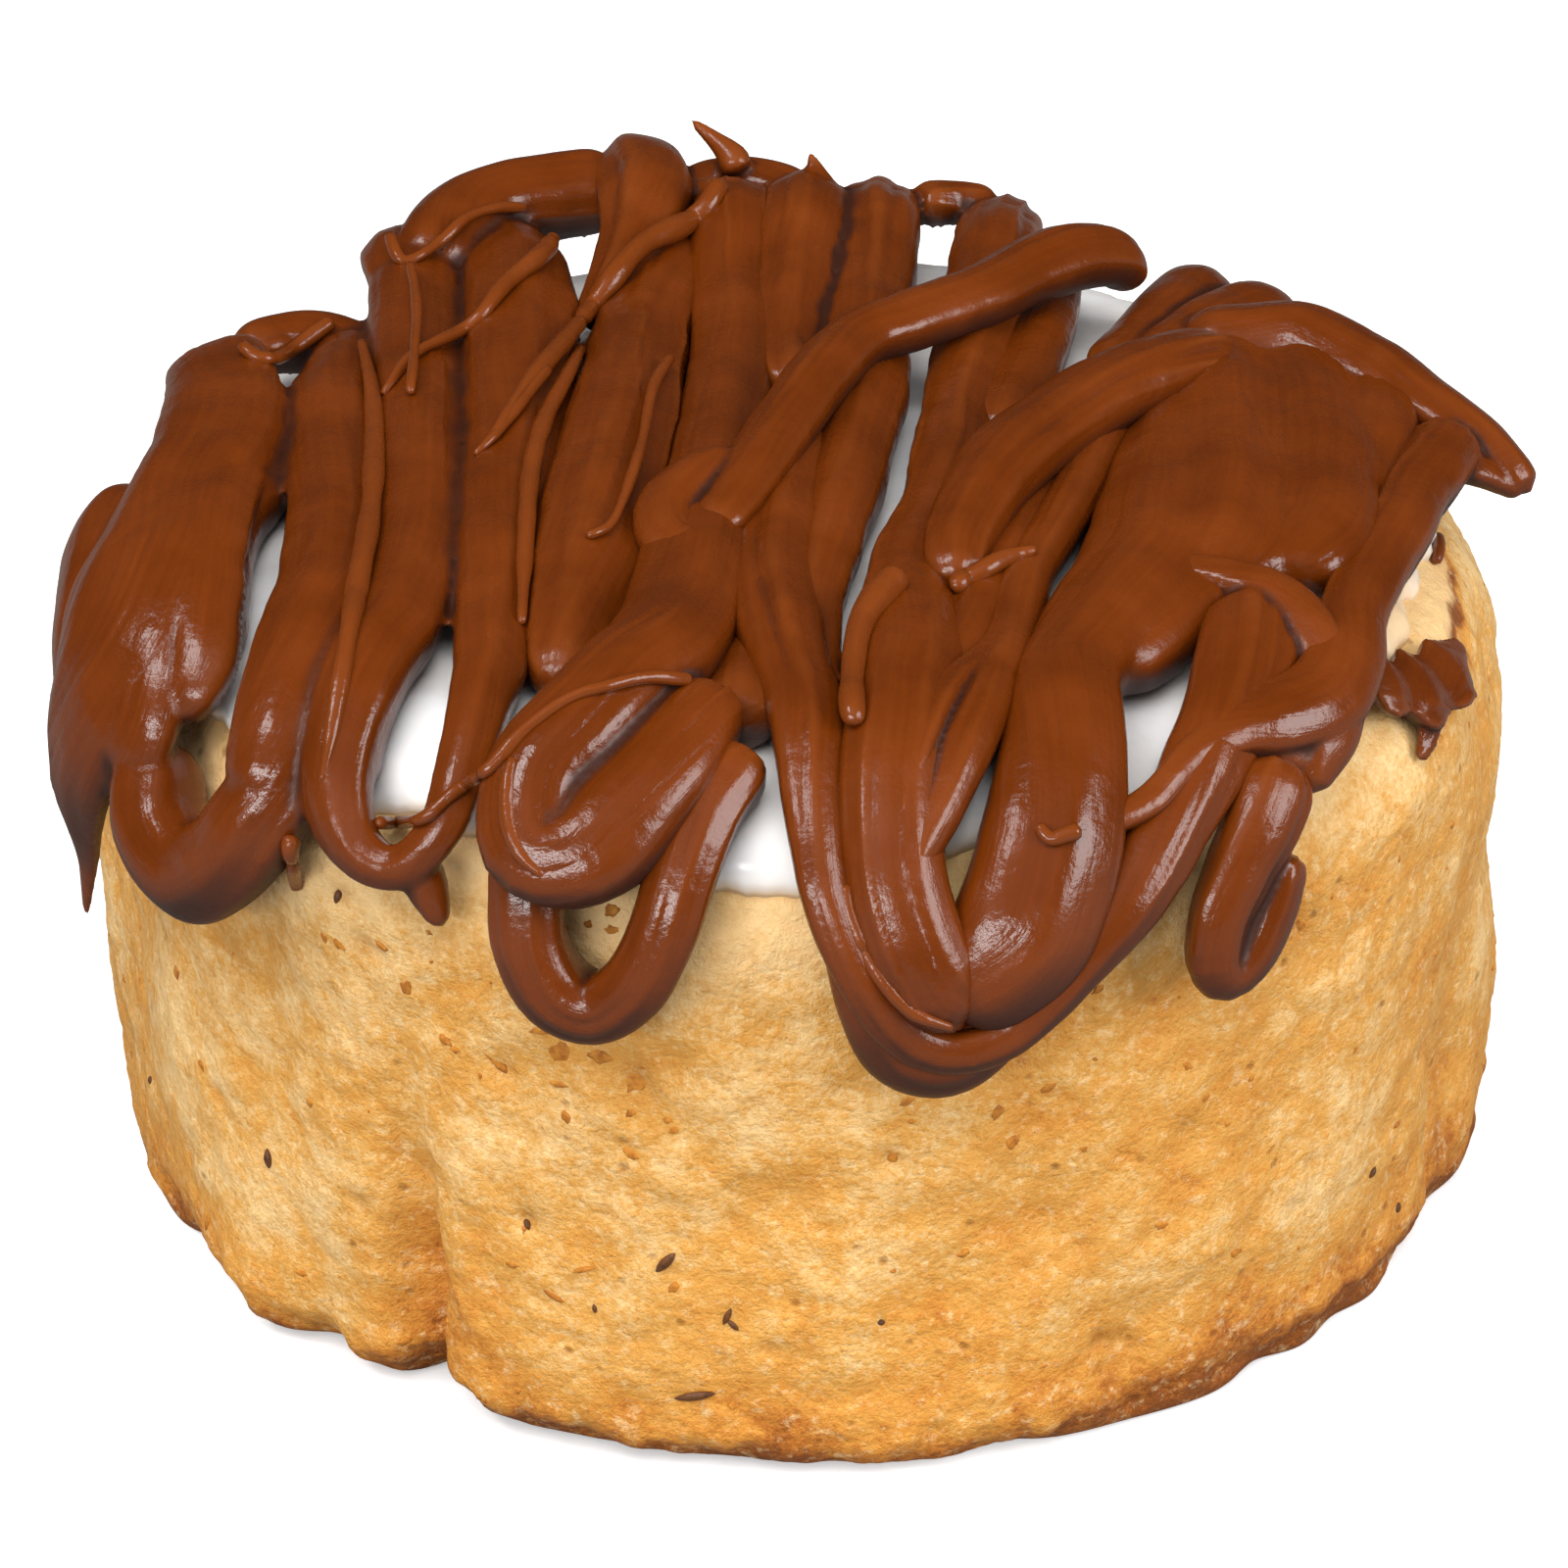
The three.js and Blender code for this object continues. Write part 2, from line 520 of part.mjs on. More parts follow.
// One rope: an oval section swept along its path, with round ends and its rings closest where it turns
function ropeShape({ flat, path }) {
  const line = smooth(path.map(([p, q]) => new THREE.Vector3(p, q, 0)));
  const sizes = smooth(path.map(([, , lift, half], i) => new THREE.Vector3(lift, half, i)));
  const place = (u) => {
    const spot = line.getPoint(u);
    const size = sizes.getPoint(u);
    return { at: laid(spot.x, spot.y, size.x), spot, half: Math.max(size.y, 0.4) };
  };
  const fine = Array.from({ length: FINE_STEPS + 1 }, (_, i) => place(i / FINE_STEPS));
  const run = [0];
  const pace = [0];
  for (let i = 1; i <= FINE_STEPS; i++) {
    const part = fine[i].at.clone().sub(fine[i - 1].at);
    const next = fine[Math.min(i + 1, FINE_STEPS)].at.clone().sub(fine[i].at);
    const turned = next.length() > 0 ? part.angleTo(next) : 0;
    run.push(run[i - 1] + part.length());
    pace.push(pace[i - 1] + part.length() / STRAIGHT_STEP + turned / TURN_STEP);
  }
  const length = run[FINE_STEPS];
  const startRound = fine[0].half;
  const endRound = fine[FINE_STEPS].half;
  const from = valueAt(pace, stepOf(run, startRound));
  const to = valueAt(pace, stepOf(run, length - endRound));
  const middle = Math.max(2, Math.round(to - from));
  const steps = [0.08 * startRound, 0.45 * startRound].map((d) => stepOf(run, d));
  for (let i = 0; i <= middle; i++) steps.push(stepOf(pace, THREE.MathUtils.lerp(from, to, i / middle)));
  steps.push(...[0.45 * endRound, 0.08 * endRound].map((d) => stepOf(run, length - d)));
  const sides = Math.max(...path.map(([, , , half]) => half)) < THIN ? THIN_SIDES : ROPE_SIDES;
  const rings = steps.map((step) => {
    const u = THREE.MathUtils.clamp(step / FINE_STEPS, 0, 1);
    const d = valueAt(run, step);
    const here = place(u);
    const ahead = place(Math.min(1, u + 0.004)).at.sub(place(Math.max(0, u - 0.004)).at).normalize();
    const up = laid(here.spot.x, here.spot.y, 10).sub(laid(here.spot.x, here.spot.y, 0));
    up.addScaledVector(ahead, -up.dot(ahead)).normalize();
    const side = new THREE.Vector3().crossVectors(up, ahead);
    const near = Math.min(d / startRound, (length - d) / endRound, 1);
    const wide = here.half * Math.sqrt(1 - (1 - near) ** 2) * FACET_GROW;
    return Array.from({ length: sides }, (_, k) => {
      const a = ((k + 0.5) * 2 * Math.PI) / sides;
      return here.at
        .clone()
        .addScaledVector(side, wide * Math.cos(a))
        .addScaledVector(up, wide * flat * Math.sin(a));
    });
  });
  return closed(fine[0].at, rings, fine[FINE_STEPS].at);
}

// Joins and cuts
function solid(geometry) {
  const bare = mergeVertices(geometry, 1e-4);
  return new wasm.Manifold(
    new wasm.Mesh({
      numProp: 3,
      vertProperties: bare.attributes.position.array,
      triVerts: new Uint32Array(bare.index.array),
    }),
  );
}

function shape(body) {
  const mesh = body.getMesh();
  const points = [];
  for (let i = 0; i < mesh.numVert; i++) {
    for (let k = 0; k < 3; k++) points.push(mesh.vertProperties[i * mesh.numProp + k]);
  }
  const geometry = new THREE.BufferGeometry();
  geometry.setAttribute("position", new THREE.Float32BufferAttribute(points, 3));
  geometry.setIndex(Array.from(mesh.triVerts));
  geometry.computeVertexNormals();
  return geometry;
}

// The chocolate: all ropes joined, with the bun's and the icing's room cut away and loose scraps dropped
function chocolateShape() {
  let joined = null;
  for (const rope of [...ROPES, ...SPIKES.map((path) => ({ flat: 1, path }))]) {
    const one = solid(ropeShape(rope));
    joined = joined ? joined.add(one) : one;
  }
  const trimmed = joined.subtract(solid(bunShape(GAP))).subtract(solid(icingShape(GAP)));
  const bodies = trimmed.decompose().sort((a, b) => b.volume() - a.volume());
  return shape(bodies[0].simplify(COARSE));
}

const dough = new THREE.MeshStandardMaterial({ color: 0xe4ab58, roughness: 0.6, metalness: 0 });
const sugar = new THREE.MeshStandardMaterial({ color: 0xf4f1ee, roughness: 0.3, metalness: 0 });
const cocoa = new THREE.MeshStandardMaterial({ color: 0x54220a, roughness: 0.35, metalness: 0 });

const roll = new THREE.Group();
const pieces = [
  ["bun", bunShape(), dough],
  ["icing", shape(solid(icingShape()).subtract(solid(bunShape(GAP))).simplify(COARSE / 3)), sugar],
  ["chocolate", chocolateShape(), cocoa],
];
for (const [name, geometry, material] of pieces) {
  const mesh = new THREE.Mesh(geometry, material);
  mesh.name = name;
  roll.add(mesh);
}

// The origin is the middle of the whole roll's box, on the surface that it stands on
const box = new THREE.Box3().setFromObject(roll);
for (const mesh of roll.children) {
  mesh.position.set(-(box.min.x + box.max.x) / 2, -(box.min.y + box.max.y) / 2, -box.min.z);
}

export default roll;
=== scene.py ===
# A chocolate sweet roll: a bread bun, a cap of white icing and thick ropes of chocolate laid over it.
# Sizes are in millimetres and are turned into metres where a mesh is made.
import math

import bpy
import numpy as np
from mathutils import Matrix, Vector
from mathutils.bvhtree import BVHTree


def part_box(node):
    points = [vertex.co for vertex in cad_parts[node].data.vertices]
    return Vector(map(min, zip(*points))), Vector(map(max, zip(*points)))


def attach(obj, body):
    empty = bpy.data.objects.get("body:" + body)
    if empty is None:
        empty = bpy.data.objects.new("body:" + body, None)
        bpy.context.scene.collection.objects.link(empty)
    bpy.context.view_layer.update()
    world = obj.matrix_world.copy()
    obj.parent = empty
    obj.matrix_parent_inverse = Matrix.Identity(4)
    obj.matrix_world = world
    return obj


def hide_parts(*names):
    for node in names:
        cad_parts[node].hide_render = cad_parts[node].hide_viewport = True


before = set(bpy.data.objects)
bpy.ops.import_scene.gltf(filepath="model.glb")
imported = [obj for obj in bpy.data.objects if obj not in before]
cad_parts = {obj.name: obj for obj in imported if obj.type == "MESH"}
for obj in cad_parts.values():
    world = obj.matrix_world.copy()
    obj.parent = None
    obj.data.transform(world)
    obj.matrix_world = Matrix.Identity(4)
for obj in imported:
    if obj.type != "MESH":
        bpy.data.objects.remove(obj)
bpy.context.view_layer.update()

bl_info = {
    "name": "Chocolate Sweet Roll",
    "version": (1, 0, 0),
    "blender": (4, 5, 0),
    "location": "3D View > Sidebar > Sweet Roll",
    "description": "Builds a chocolate sweet roll: bun, icing, ropes of chocolate and small trim",
    "category": "Add Mesh",
}

MM = 0.001

# Driving sizes of the bun, in mm
WALL_RADIUS = 56.0
TOP_HEIGHT = 53.5
TOP_FALL = 0.045
TOP_DOME = 2.0
BACK_FLAT = 0.03
EDGE_FRONT = 11.0
EDGE_BACK = 17.0
FOOT_RADIUS = 5.0
FOOT_TUCK_SIDE = 0.5
FOOT_TUCK_FRONT = 5.5
FOOT_TUCK_AT = -100.0
FOOT_TUCK_TURN = 38.0

# Driving sizes of the icing, whose edge reaches furthest in front
ICING_REACH = 49.5
ICING_FRONT = 4.0
ICING_SIDE = 1.5
ICING_THICK = 2.1
ICING_LIP = 4.0

# Dents and bulges of the bun's side: azimuth, half width in degrees, height, half height and depth in mm
FEATURES = [
    # the cleft at the front left, its sharp bottom, the darker fold and the lobe beside it
    (-122.0, 2.6, 8.0, 17.0, 3.4),
    (-121.0, 0.8, 9.0, 14.0, 1.2),
    (-131.0, 6.0, 4.0, 12.0, 1.6),
    (-139.0, 8.0, 3.0, 8.0, -1.4),
    # the broad valley down the left side
    (-163.0, 9.0, 30.0, 15.0, 1.5),
    (-136.0, 5.0, 32.0, 12.0, 0.9),
    # the fuller left side
    (177.0, 15.0, 24.0, 17.0, -1.6),
    # the fold at the right, with its bulge behind
    (-24.0, 5.0, 14.0, 15.0, 1.6),
    (-26.5, 1.2, 11.0, 10.0, 0.7),
    (-8.0, 12.0, 12.0, 9.0, -0.8),
    (-5.0, 22.0, 29.0, 9.0, 0.9),
    # the rounder right shoulder
    (-4.0, 17.0, 48.0, 7.0, 1.9),
    # the seam of the outer coil at the right
    (-14.0, 9.0, 44.0, 4.0, 1.0),
    (-17.0, 7.0, 49.5, 1.4, 0.8),
    # soft dimples in front
    (-95.0, 5.0, 19.0, 6.0, 0.7),
    (-64.0, 5.0, 10.0, 5.0, 0.8),
    (-95.2, 3.0, 25.0, 3.0, 0.6),
    (-91.0, 2.5, 26.4, 2.5, 0.5),
    (-111.0, 4.0, 33.0, 5.0, 0.5),
    (-75.0, 6.0, 24.0, 6.0, 0.5),
    (-50.0, 5.0, 27.0, 9.0, 0.7),
]

# The scallops of the baked foot: the half width of a notch in degrees, then each azimuth and depth
NOTCH_TURN = 3.2
NOTCHES = [
    (-150, 2.3), (-142, 2.1), (-133, 1.8), (-121, 3.2), (-74, 1.2), (-50, 1.4), (-41, 1.0), (-31, 1.4),
    (-22, 0.6), (-9, 1.2), (22, 1.6), (58, 1.3), (97, 1.7), (139, 1.4), (172, 1.8),
]

# Pores in the crust: azimuth, height, radius and depth in mm, those that the photograph shows
PORES = [
    (-126.7, 45.6, 0.7, 0.5), (-124.6, 42.0, 1.0, 0.6), (-123.1, 41.9, 0.7, 0.5), (-118.7, 43.2, 0.6, 0.4),
    (-112.9, 34.6, 0.7, 0.5), (-111.3, 21.8, 0.6, 0.6), (-143.0, 20.1, 0.7, 0.5), (-158.0, 12.4, 0.6, 0.4),
    (-102.5, 36.3, 1.0, 0.6), (-101.5, 35.2, 0.6, 0.4), (-83.8, 30.2, 0.8, 0.5), (-92.7, 12.9, 0.7, 0.5),
    (-68.6, 19.6, 0.7, 0.5), (-84.4, 15.6, 0.5, 0.4),
    # the wrinkled cluster low at the right of the front
    (-66.5, 9.5, 0.8, 0.8), (-65.4, 8.6, 0.7, 0.8), (-64.4, 9.4, 0.6, 0.7), (-63.6, 8.2, 0.8, 0.8),
    (-64.9, 7.2, 0.7, 0.7), (-66.2, 7.0, 0.6, 0.7), (-63.4, 6.6, 0.6, 0.6), (-65.3, 5.6, 0.7, 0.6),
]
LOOSE_PORES = 110

# The ropes of chocolate: each has a name, the piece that it is joined into, how flat it is, how many ridges
# run along it, and its points. A point is (across, along, lift, half width) in mm: the first two are unrolled
# over the bun from the middle of its top, down over the rim, and the lift is measured square to the bun.
ROPES = [
    ("outer lobe", "left", 0.8, 3, [
        (-48.8, -5.5, 5, 2.8), (-50.4, -9.5, 5, 3.9), (-50.8, -17, 5, 3.9), (-52, -24, 4.6, 3),
        (-53, -28, 4.4, 2),
    ]),
    ("flap", "left", 0.45, 4, [
        (-45, 12.8, 7.6, 3.9), (-44.9, 6, 7.4, 4.6), (-44.6, -3, 7.3, 5.1), (-45, -13, 7.2, 5.4),
        (-45.5, -21, 7, 6.4), (-46.8, -26, 6.6, 6.9), (-50.4, -28.4, 6.2, 5.4), (-54.8, -29.6, 5.4, 3.4),
        (-58.8, -31, 5, 1.9), (-62.2, -32.4, 5.2, 1), (-64.6, -33.4, 5.4, 0.6),
    ]),
    ("flap corner", "left", 0.75, 2, [
        (-40.8, 6.5, 4.4, 2.8), (-41, -1, 5.2, 3.4), (-42, -7, 5.2, 3.3), (-43.1, -13, 5.4, 3.3),
        (-42.9, -20, 5.5, 3.6), (-42.2, -26.5, 5.5, 3.6), (-41.8, -30, 5.2, 3.8),
    ]),
    ("flap middle", "left", 0.5, 1, [
        (-43.4, -8, 7.2, 3.2), (-43.5, -15, 7.5, 3.8), (-43.1, -22, 7.4, 4.2), (-42.5, -27.4, 6.6, 4.6),
        (-42.4, -30.6, 5.7, 4.3), (-44, -33.2, 5.2, 3.2),
    ]),
    ("flap fill", "left", 0.5, 1, [
        (-44.6, -22, 7.1, 4.8), (-45, -27.4, 6.6, 5.2), (-45.8, -31.4, 5.9, 4.7), (-47.8, -34.4, 5.3, 3.3),
    ]),
    ("left turn", "left", 0.85, 3, [
        (-46, -32, 4.2, 3.2), (-47.3, -37, 4.5, 3.7), (-45, -41.7, 4.6, 3.8), (-40.5, -43, 4.8, 3.8),
        (-36.5, -42, 4.8, 3.7), (-33.5, -40, 4.6, 3.2),
    ]),
    ("second", "left", 0.8, 3, [
        (-36.2, 17.5, 5, 3), (-36.4, 11, 5.4, 3.3), (-37, 3, 5.5, 3.8), (-35.4, -10, 5.4, 3.9),
        (-34.6, -20, 5.4, 4.3), (-34.4, -29, 5.4, 4.3), (-34.6, -36, 5.8, 4), (-35.6, -40, 6.1, 3.4),
        (-37.4, -42, 6.2, 2.5),
    ]),
    ("back curl", "left", 0.9, 2, [
        (-43.7, 13.4, 6.7, 2.7), (-41.2, 16.5, 6.2, 2.6), (-38.4, 17.9, 5.7, 2.4), (-35.8, 17, 5, 2.2),
        (-34, 14.4, 4.6, 2.4),
    ]),
    ("hairpin", "left", 0.85, 3, [
        (-31.6, 35, 4.5, 2.8), (-31.9, 30, 7.4, 3.5), (-31.8, 24, 7, 3.8), (-31, 14, 6, 3.9),
        (-30, 2, 5.5, 3.8), (-29.2, -10, 5.4, 3.8), (-29, -22, 5.4, 3.8), (-29.8, -32, 5.4, 3.6),
        (-30.9, -39, 5.6, 3.4), (-31.2, -44.2, 5.2, 2.8), (-29.9, -47.7, 4.9, 2.1),
        (-27.2, -49.5, 4.8, 1.7), (-24.2, -48.4, 5, 1.8), (-22.9, -44.8, 5.3, 2.2), (-22.6, -39, 5.4, 2.7),
        (-22.6, -30, 5.4, 3.1), (-22.7, -17, 5.4, 3.7), (-22.6, -4, 5.4, 4.2), (-22.7, 8, 5.5, 4.7),
        (-23.1, 19, 5.9, 4.9), (-24, 27.5, 6.6, 4.4), (-25.4, 34.5, 6.8, 3.2),
    ]),
    ("back bend", "left", 1, 3, [
        (-31, 25.5, 8.2, 2.8), (-29.4, 29.4, 9, 3.3), (-25.4, 34.4, 9.6, 3.6), (-20, 37, 9.8, 3.7),
        (-14, 38.5, 9.8, 3.8),
    ]),
    ("back post", "middle", 0.95, 3, [
        (-13, 47, 4, 3.4), (-13.2, 41, 9.4, 4.3), (-13.3, 34.5, 10.8, 4.1), (-13.8, 28.5, 9.3, 3.3),
        (-15, 22.5, 7.4, 2.6), (-17.2, 17.5, 5.6, 1.8),
    ]),
    ("middle", "middle", 0.8, 3, [
        (-9.8, 36, 8, 3.6), (-11, 30, 6.6, 4.2), (-12.8, 18, 5.5, 4.2), (-13.7, 4, 5.3, 4.5),
        (-15, -10, 5.3, 4.9), (-16, -21, 5.3, 4.8), (-16.6, -31, 5.3, 3.9), (-17.6, -40, 5, 2.6),
    ]),
    ("fold", "fold", 0.85, 3, [
        (-5.5, 44, 4, 3), (-5.6, 38.5, 8, 3.4), (-5.8, 33, 9.4, 3.6), (-5.8, 25, 7, 3.7),
        (-5.6, 12, 5.5, 3.6), (-6.2, 0, 5.3, 3.6), (-7, -13, 5.4, 3.9), (-7.8, -24, 5.5, 4.3),
        (-9, -33, 6, 4.6), (-10.6, -41, 7.4, 4.3), (-14, -45.8, 8.2, 3.8), (-17.4, -48.3, 8, 3.6),
        (-17.6, -51, 7.4, 3.8), (-14.6, -52, 6.9, 4.3), (-11.6, -50.6, 6.7, 4.4), (-8.6, -48, 6.5, 3.8),
        (-6.4, -44, 6.2, 2.7),
    ]),
    ("back link", "middle", 0.9, 2, [
        (-11, 39.5, 9, 1.8), (-7, 40.5, 9.6, 2.5), (-3, 40, 9.4, 2.6), (0.5, 38.5, 8.6, 2.4),
    ]),
    ("back thread", "middle", 1, 1, [(-11, 37.5, 9.6, 1.4), (-8, 36.5, 10.4, 1.5), (-5, 35, 11, 1.4)]),
    ("left of the arch", "middle", 0.9, 3, [
        (0.2, 44, 4, 3), (0.2, 38, 8, 3.9), (-0.2, 32.5, 9.3, 4), (-0.8, 24, 7.4, 3.6),
        (-1.2, 14, 5.8, 3.2), (-0.9, 4, 5.2, 2.8),
    ]),
    ("arch", "middle", 0.9, 3, [
        (6.4, 46, 4, 3.2), (6.3, 40, 6.8, 3.7), (6, 34, 8.2, 3.9), (5.6, 24, 6.4, 3.8), (5, 13, 5.6, 3.7),
        (4.4, 1, 5.4, 3.6), (3.2, -10, 5.4, 3.4), (1.6, -20, 5.3, 2.9), (0.6, -30, 5.2, 2.3),
        (1.3, -41, 4.8, 1.2),
    ]),
    ("arch link", "middle", 1, 1, [(9, 39, 8, 2.2), (12.5, 40, 8, 2), (16, 39, 7.6, 2.2)]),
    ("short", "middle", 0.85, 2, [
        (-3.2, -32, 4.4, 2), (-3.6, -37, 4.6, 2.6), (-4.2, -42, 4.9, 2.9), (-4.6, -46, 5, 2.8),
    ]),
    ("front arm and swag", "front", 0.9, 3, [
        (-0.3, 1, 5, 2.8), (-1.2, -9, 5.5, 3.2), (-2.2, -19, 5.7, 3.3), (-2.7, -29, 5.8, 3.3),
        (-1.6, -38, 6, 3.2), (0, -46, 6.2, 2.8), (0.3, -51, 6, 2.2), (1.2, -55, 6, 1.9),
        (3.3, -58.5, 5.9, 1.8), (6.2, -61.3, 5.8, 1.8), (9.5, -62.6, 5.8, 1.7), (12.4, -62, 5.8, 1.7),
        (15.2, -59.8, 5.8, 1.8), (18, -56.6, 5.7, 2.1), (21.2, -52.6, 5.6, 2.5), (24.2, -48, 5.6, 2.8),
        (27.4, -42.6, 5.7, 3.3), (30.4, -36.4, 6, 3.6), (32.4, -30.5, 6.2, 3.4),
    ]),
    ("right of the arch", "middle", 0.85, 3, [
        (16.4, 43.5, 4, 3.2), (16.3, 38, 6.6, 3.5), (15.9, 32, 7.6, 3.7), (15, 23, 6.4, 3.6),
        (13.6, 13, 5.6, 3.4), (12.3, 3, 5.4, 3), (11, -7, 5.3, 2.9), (9.6, -15, 5.3, 2.6),
        (8.4, -21, 5.3, 2.9), (7.4, -28, 5.4, 3.4), (7.2, -37, 5.7, 4.1), (6.4, -45, 6.1, 4.1),
        (5.2, -51, 6, 4), (6, -56, 5.7, 3.9), (8.5, -59, 5.5, 3.7), (11.5, -59.4, 5.4, 3.3),
    ]),
    ("under the crossings left", "right", 0.85, 2, [
        (21, 33, 3, 2), (20.3, 27, 5.2, 2.5), (19.2, 18, 5.3, 2.8), (17.4, 8, 5.2, 2.8), (14.8, -3, 5, 2.6),
    ]),
    ("under the crossings middle", "right", 0.85, 2, [
        (33, 33.5, 2.6, 2.6), (32.2, 28.5, 5, 3), (30.6, 23.5, 5.6, 3), (27.8, 17, 5.3, 3),
        (24, 9, 5.2, 2.9),
    ]),
    ("under the crossings right", "right", 0.85, 2, [
        (38.5, 28, 3, 2.8), (36.4, 24.5, 5, 3.4), (33.4, 19.5, 5.6, 3.4), (30, 14, 5.6, 3.2),
        (27, 8.5, 5.4, 3),
    ]),
    ("long crossing", "crossing", 0.9, 2, [
        (26.8, 25, 7.2, 2), (25.4, 23.8, 9.6, 2.8), (22.2, 21.4, 10.7, 3.1), (18.5, 17.8, 10.7, 3.1),
        (13.9, 12.5, 10.3, 2.9), (8.3, 8, 10, 2.8), (4.5, 4.8, 9.8, 2.7), (1.4, -1.3, 9.5, 2.7),
        (-1, -7.5, 9, 2.7), (-3.2, -14, 8.5, 2.6), (-5.4, -20, 8, 2.5), (-7.4, -24, 7.6, 2.2),
    ]),
    ("curl", "crossing", 0.9, 2, [
        (-5, -14, 8.4, 2.2), (-8.2, -17.5, 8.2, 2.5), (-10.2, -22, 7.6, 2.6), (-9, -26, 7.3, 2.6),
        (-6, -26, 7.2, 2.4),
    ]),
    ("broad crossing", "crossing", 0.85, 3, [
        (33.5, 7, 8, 3.4), (28.5, 3, 8.6, 3.7), (23.7, -2, 8.8, 3.7), (19, -8.3, 8.8, 3.6),
        (15, -15, 8.6, 3.4), (12.1, -22, 8.1, 3), (10.9, -27.5, 7.6, 2.5), (11, -30.5, 6.6, 2),
    ]),
    ("inner arm", "right", 0.85, 2, [
        (21.5, -4, 5, 2.8), (17.4, -16, 5.2, 3.2), (14.2, -26, 5.2, 3.2), (12, -35, 5.3, 3),
        (10, -43.5, 5.3, 2.4),
    ]),
    ("narrow arm", "front", 0.95, 1, [
        (24.4, -1.5, 6.6, 2), (21.4, -11, 6.5, 2.1), (18.7, -19.5, 6.4, 2.1), (16, -28, 6.3, 2.2),
        (14.5, -36, 6.3, 2.2), (12.9, -43, 6.8, 2.1), (10.7, -47.5, 7.1, 2), (8.4, -51, 7.2, 1.9),
        (6, -54, 7, 1.7), (3.6, -56.4, 6.6, 1.4),
    ]),
    ("short arm", "front", 0.95, 1, [
        (14, -37, 6, 1.8), (11.8, -42, 6.8, 1.9), (8.8, -46, 7.3, 1.9), (6, -51, 7.3, 1.8),
        (3.6, -55, 6.8, 1.5),
    ]),
    ("broad front", "sheet", 0.8, 3, [
        (29.4, 4, 5.8, 3.8), (28, -6, 6, 4.5), (26.4, -16, 6.2, 4.9), (24.6, -26, 6.1, 5),
        (21, -34.5, 6.1, 4.5), (17.9, -42, 6.1, 4.3), (16.9, -47.5, 5.9, 4.7), (15.9, -51.5, 5.5, 5.1),
        (14.3, -55.5, 5.2, 5), (11.7, -58.8, 5, 4.2), (9.8, -60.8, 4.8, 3),
    ]),
    ("sheet middle", "sheet", 0.75, 3, [
        (33.5, 12, 6, 4.2), (33, 1, 6.5, 5.2), (32.3, -11, 6.6, 5.4), (31, -21, 6.4, 5.4),
        (29.4, -29, 6, 4.6),
    ]),
    ("sheet foot", "sheet", 0.75, 2, [
        (33, -24, 6.2, 3), (30, -27.6, 6.2, 3.4), (27, -31, 6.2, 3.4), (24.2, -35.4, 6.1, 3.2),
        (21.4, -39.6, 6, 2.4),
    ]),
    ("sheet right", "sheet", 0.75, 3, [
        (38.5, 11, 6, 4.4), (39, 1, 6.4, 5), (38.6, -11, 6.5, 5), (37.4, -21, 6.5, 4.6),
        (35.3, -27.5, 6.6, 3.4),
    ]),
    ("sheet edge", "sheet", 0.8, 2, [
        (44.5, 9, 5.6, 3.4), (43.8, 0, 6, 4), (42.5, -9, 5.8, 3.8), (41.2, -16, 5.2, 2.8),
    ]),
    ("point", "right", 0.85, 3, [
        (30, 13, 6.6, 3.2), (35, 13, 7, 3.6), (39.6, 12.4, 7.8, 3.6), (43.6, 8.2, 7.4, 3.2),
        (47, 3.4, 7, 2.8), (50, -0.4, 7, 2.3), (52.6, -3.2, 6.9, 1.6),
    ]),
    ("point web", "right", 0.8, 2, [
        (44, -2.4, 6, 2.4), (47, -3.5, 6.1, 2.1), (50, -3, 6.3, 1.6), (52.6, -2.4, 6.5, 1.2),
    ]),
    ("band and tail", "right", 0.9, 3, [
        (48, -0.5, 6.8, 2.8), (46.6, -5.5, 6.4, 3), (44.9, -11, 6.2, 2.9), (43, -17, 6.1, 2.9),
        (40.3, -24, 6.1, 2.8), (38, -29.5, 6.3, 2.7), (36.4, -34, 6.5, 2.9), (34.2, -38, 6.7, 3.2),
        (31, -40.9, 7, 2.9), (28, -42.8, 7.2, 2.1), (25.2, -44.8, 7.4, 1.4), (21.5, -48.2, 7.3, 1.2),
        (17, -50.8, 7, 1),
    ]),
    ("wing", "right", 0.8, 1, [
        (35.4, -34.5, 6.4, 3), (34.7, -38.4, 6.4, 3.1), (33.7, -41.2, 6.1, 2.4), (33.4, -43.2, 5.7, 1.1),
    ]),
    ("wing web", "right", 0.7, 1, [
        (28.6, -42, 6.4, 1.8), (31, -41.6, 6.4, 2.4), (33, -41.6, 6.1, 2.2), (33.8, -42.4, 5.8, 1.4),
    ]),
    ("lip", "front", 0.75, 1, [
        (25.2, -27, 7.8, 0.8), (28, -28.6, 8.1, 1.4), (31, -30, 8.2, 1.8), (33.6, -31.8, 8, 2.1),
        (35, -34.4, 7, 2.3), (34.8, -37, 6.2, 2.3), (33, -38.6, 5.6, 2),
    ]),
    ("big loop", "loops", 0.95, 2, [
        (-18.4, -50, 5, 2.6), (-18.8, -53, 4.3, 2.7), (-19.1, -56, 4, 2.7), (-17.9, -58.8, 3.9, 2.6),
        (-15.4, -60.1, 3.9, 2.5), (-12.2, -59.2, 4, 2.5), (-9.8, -56.7, 4.2, 2.6), (-8.2, -53.6, 4.6, 2.7),
        (-6.4, -50.4, 5, 2.8), (-3.6, -47.6, 5.4, 2.6),
    ]),
    ("small loop", "loops", 0.9, 2, [
        (31.5, -42, 5.8, 3.2), (30.2, -46, 5.3, 3), (29.2, -49, 4.6, 2.6), (28.7, -51.5, 4.2, 2.3),
        (29.3, -53.7, 4, 2.2), (31, -54.2, 4, 2.1), (32.3, -52.4, 4.1, 2.1), (32.7, -49.8, 4.3, 2.1),
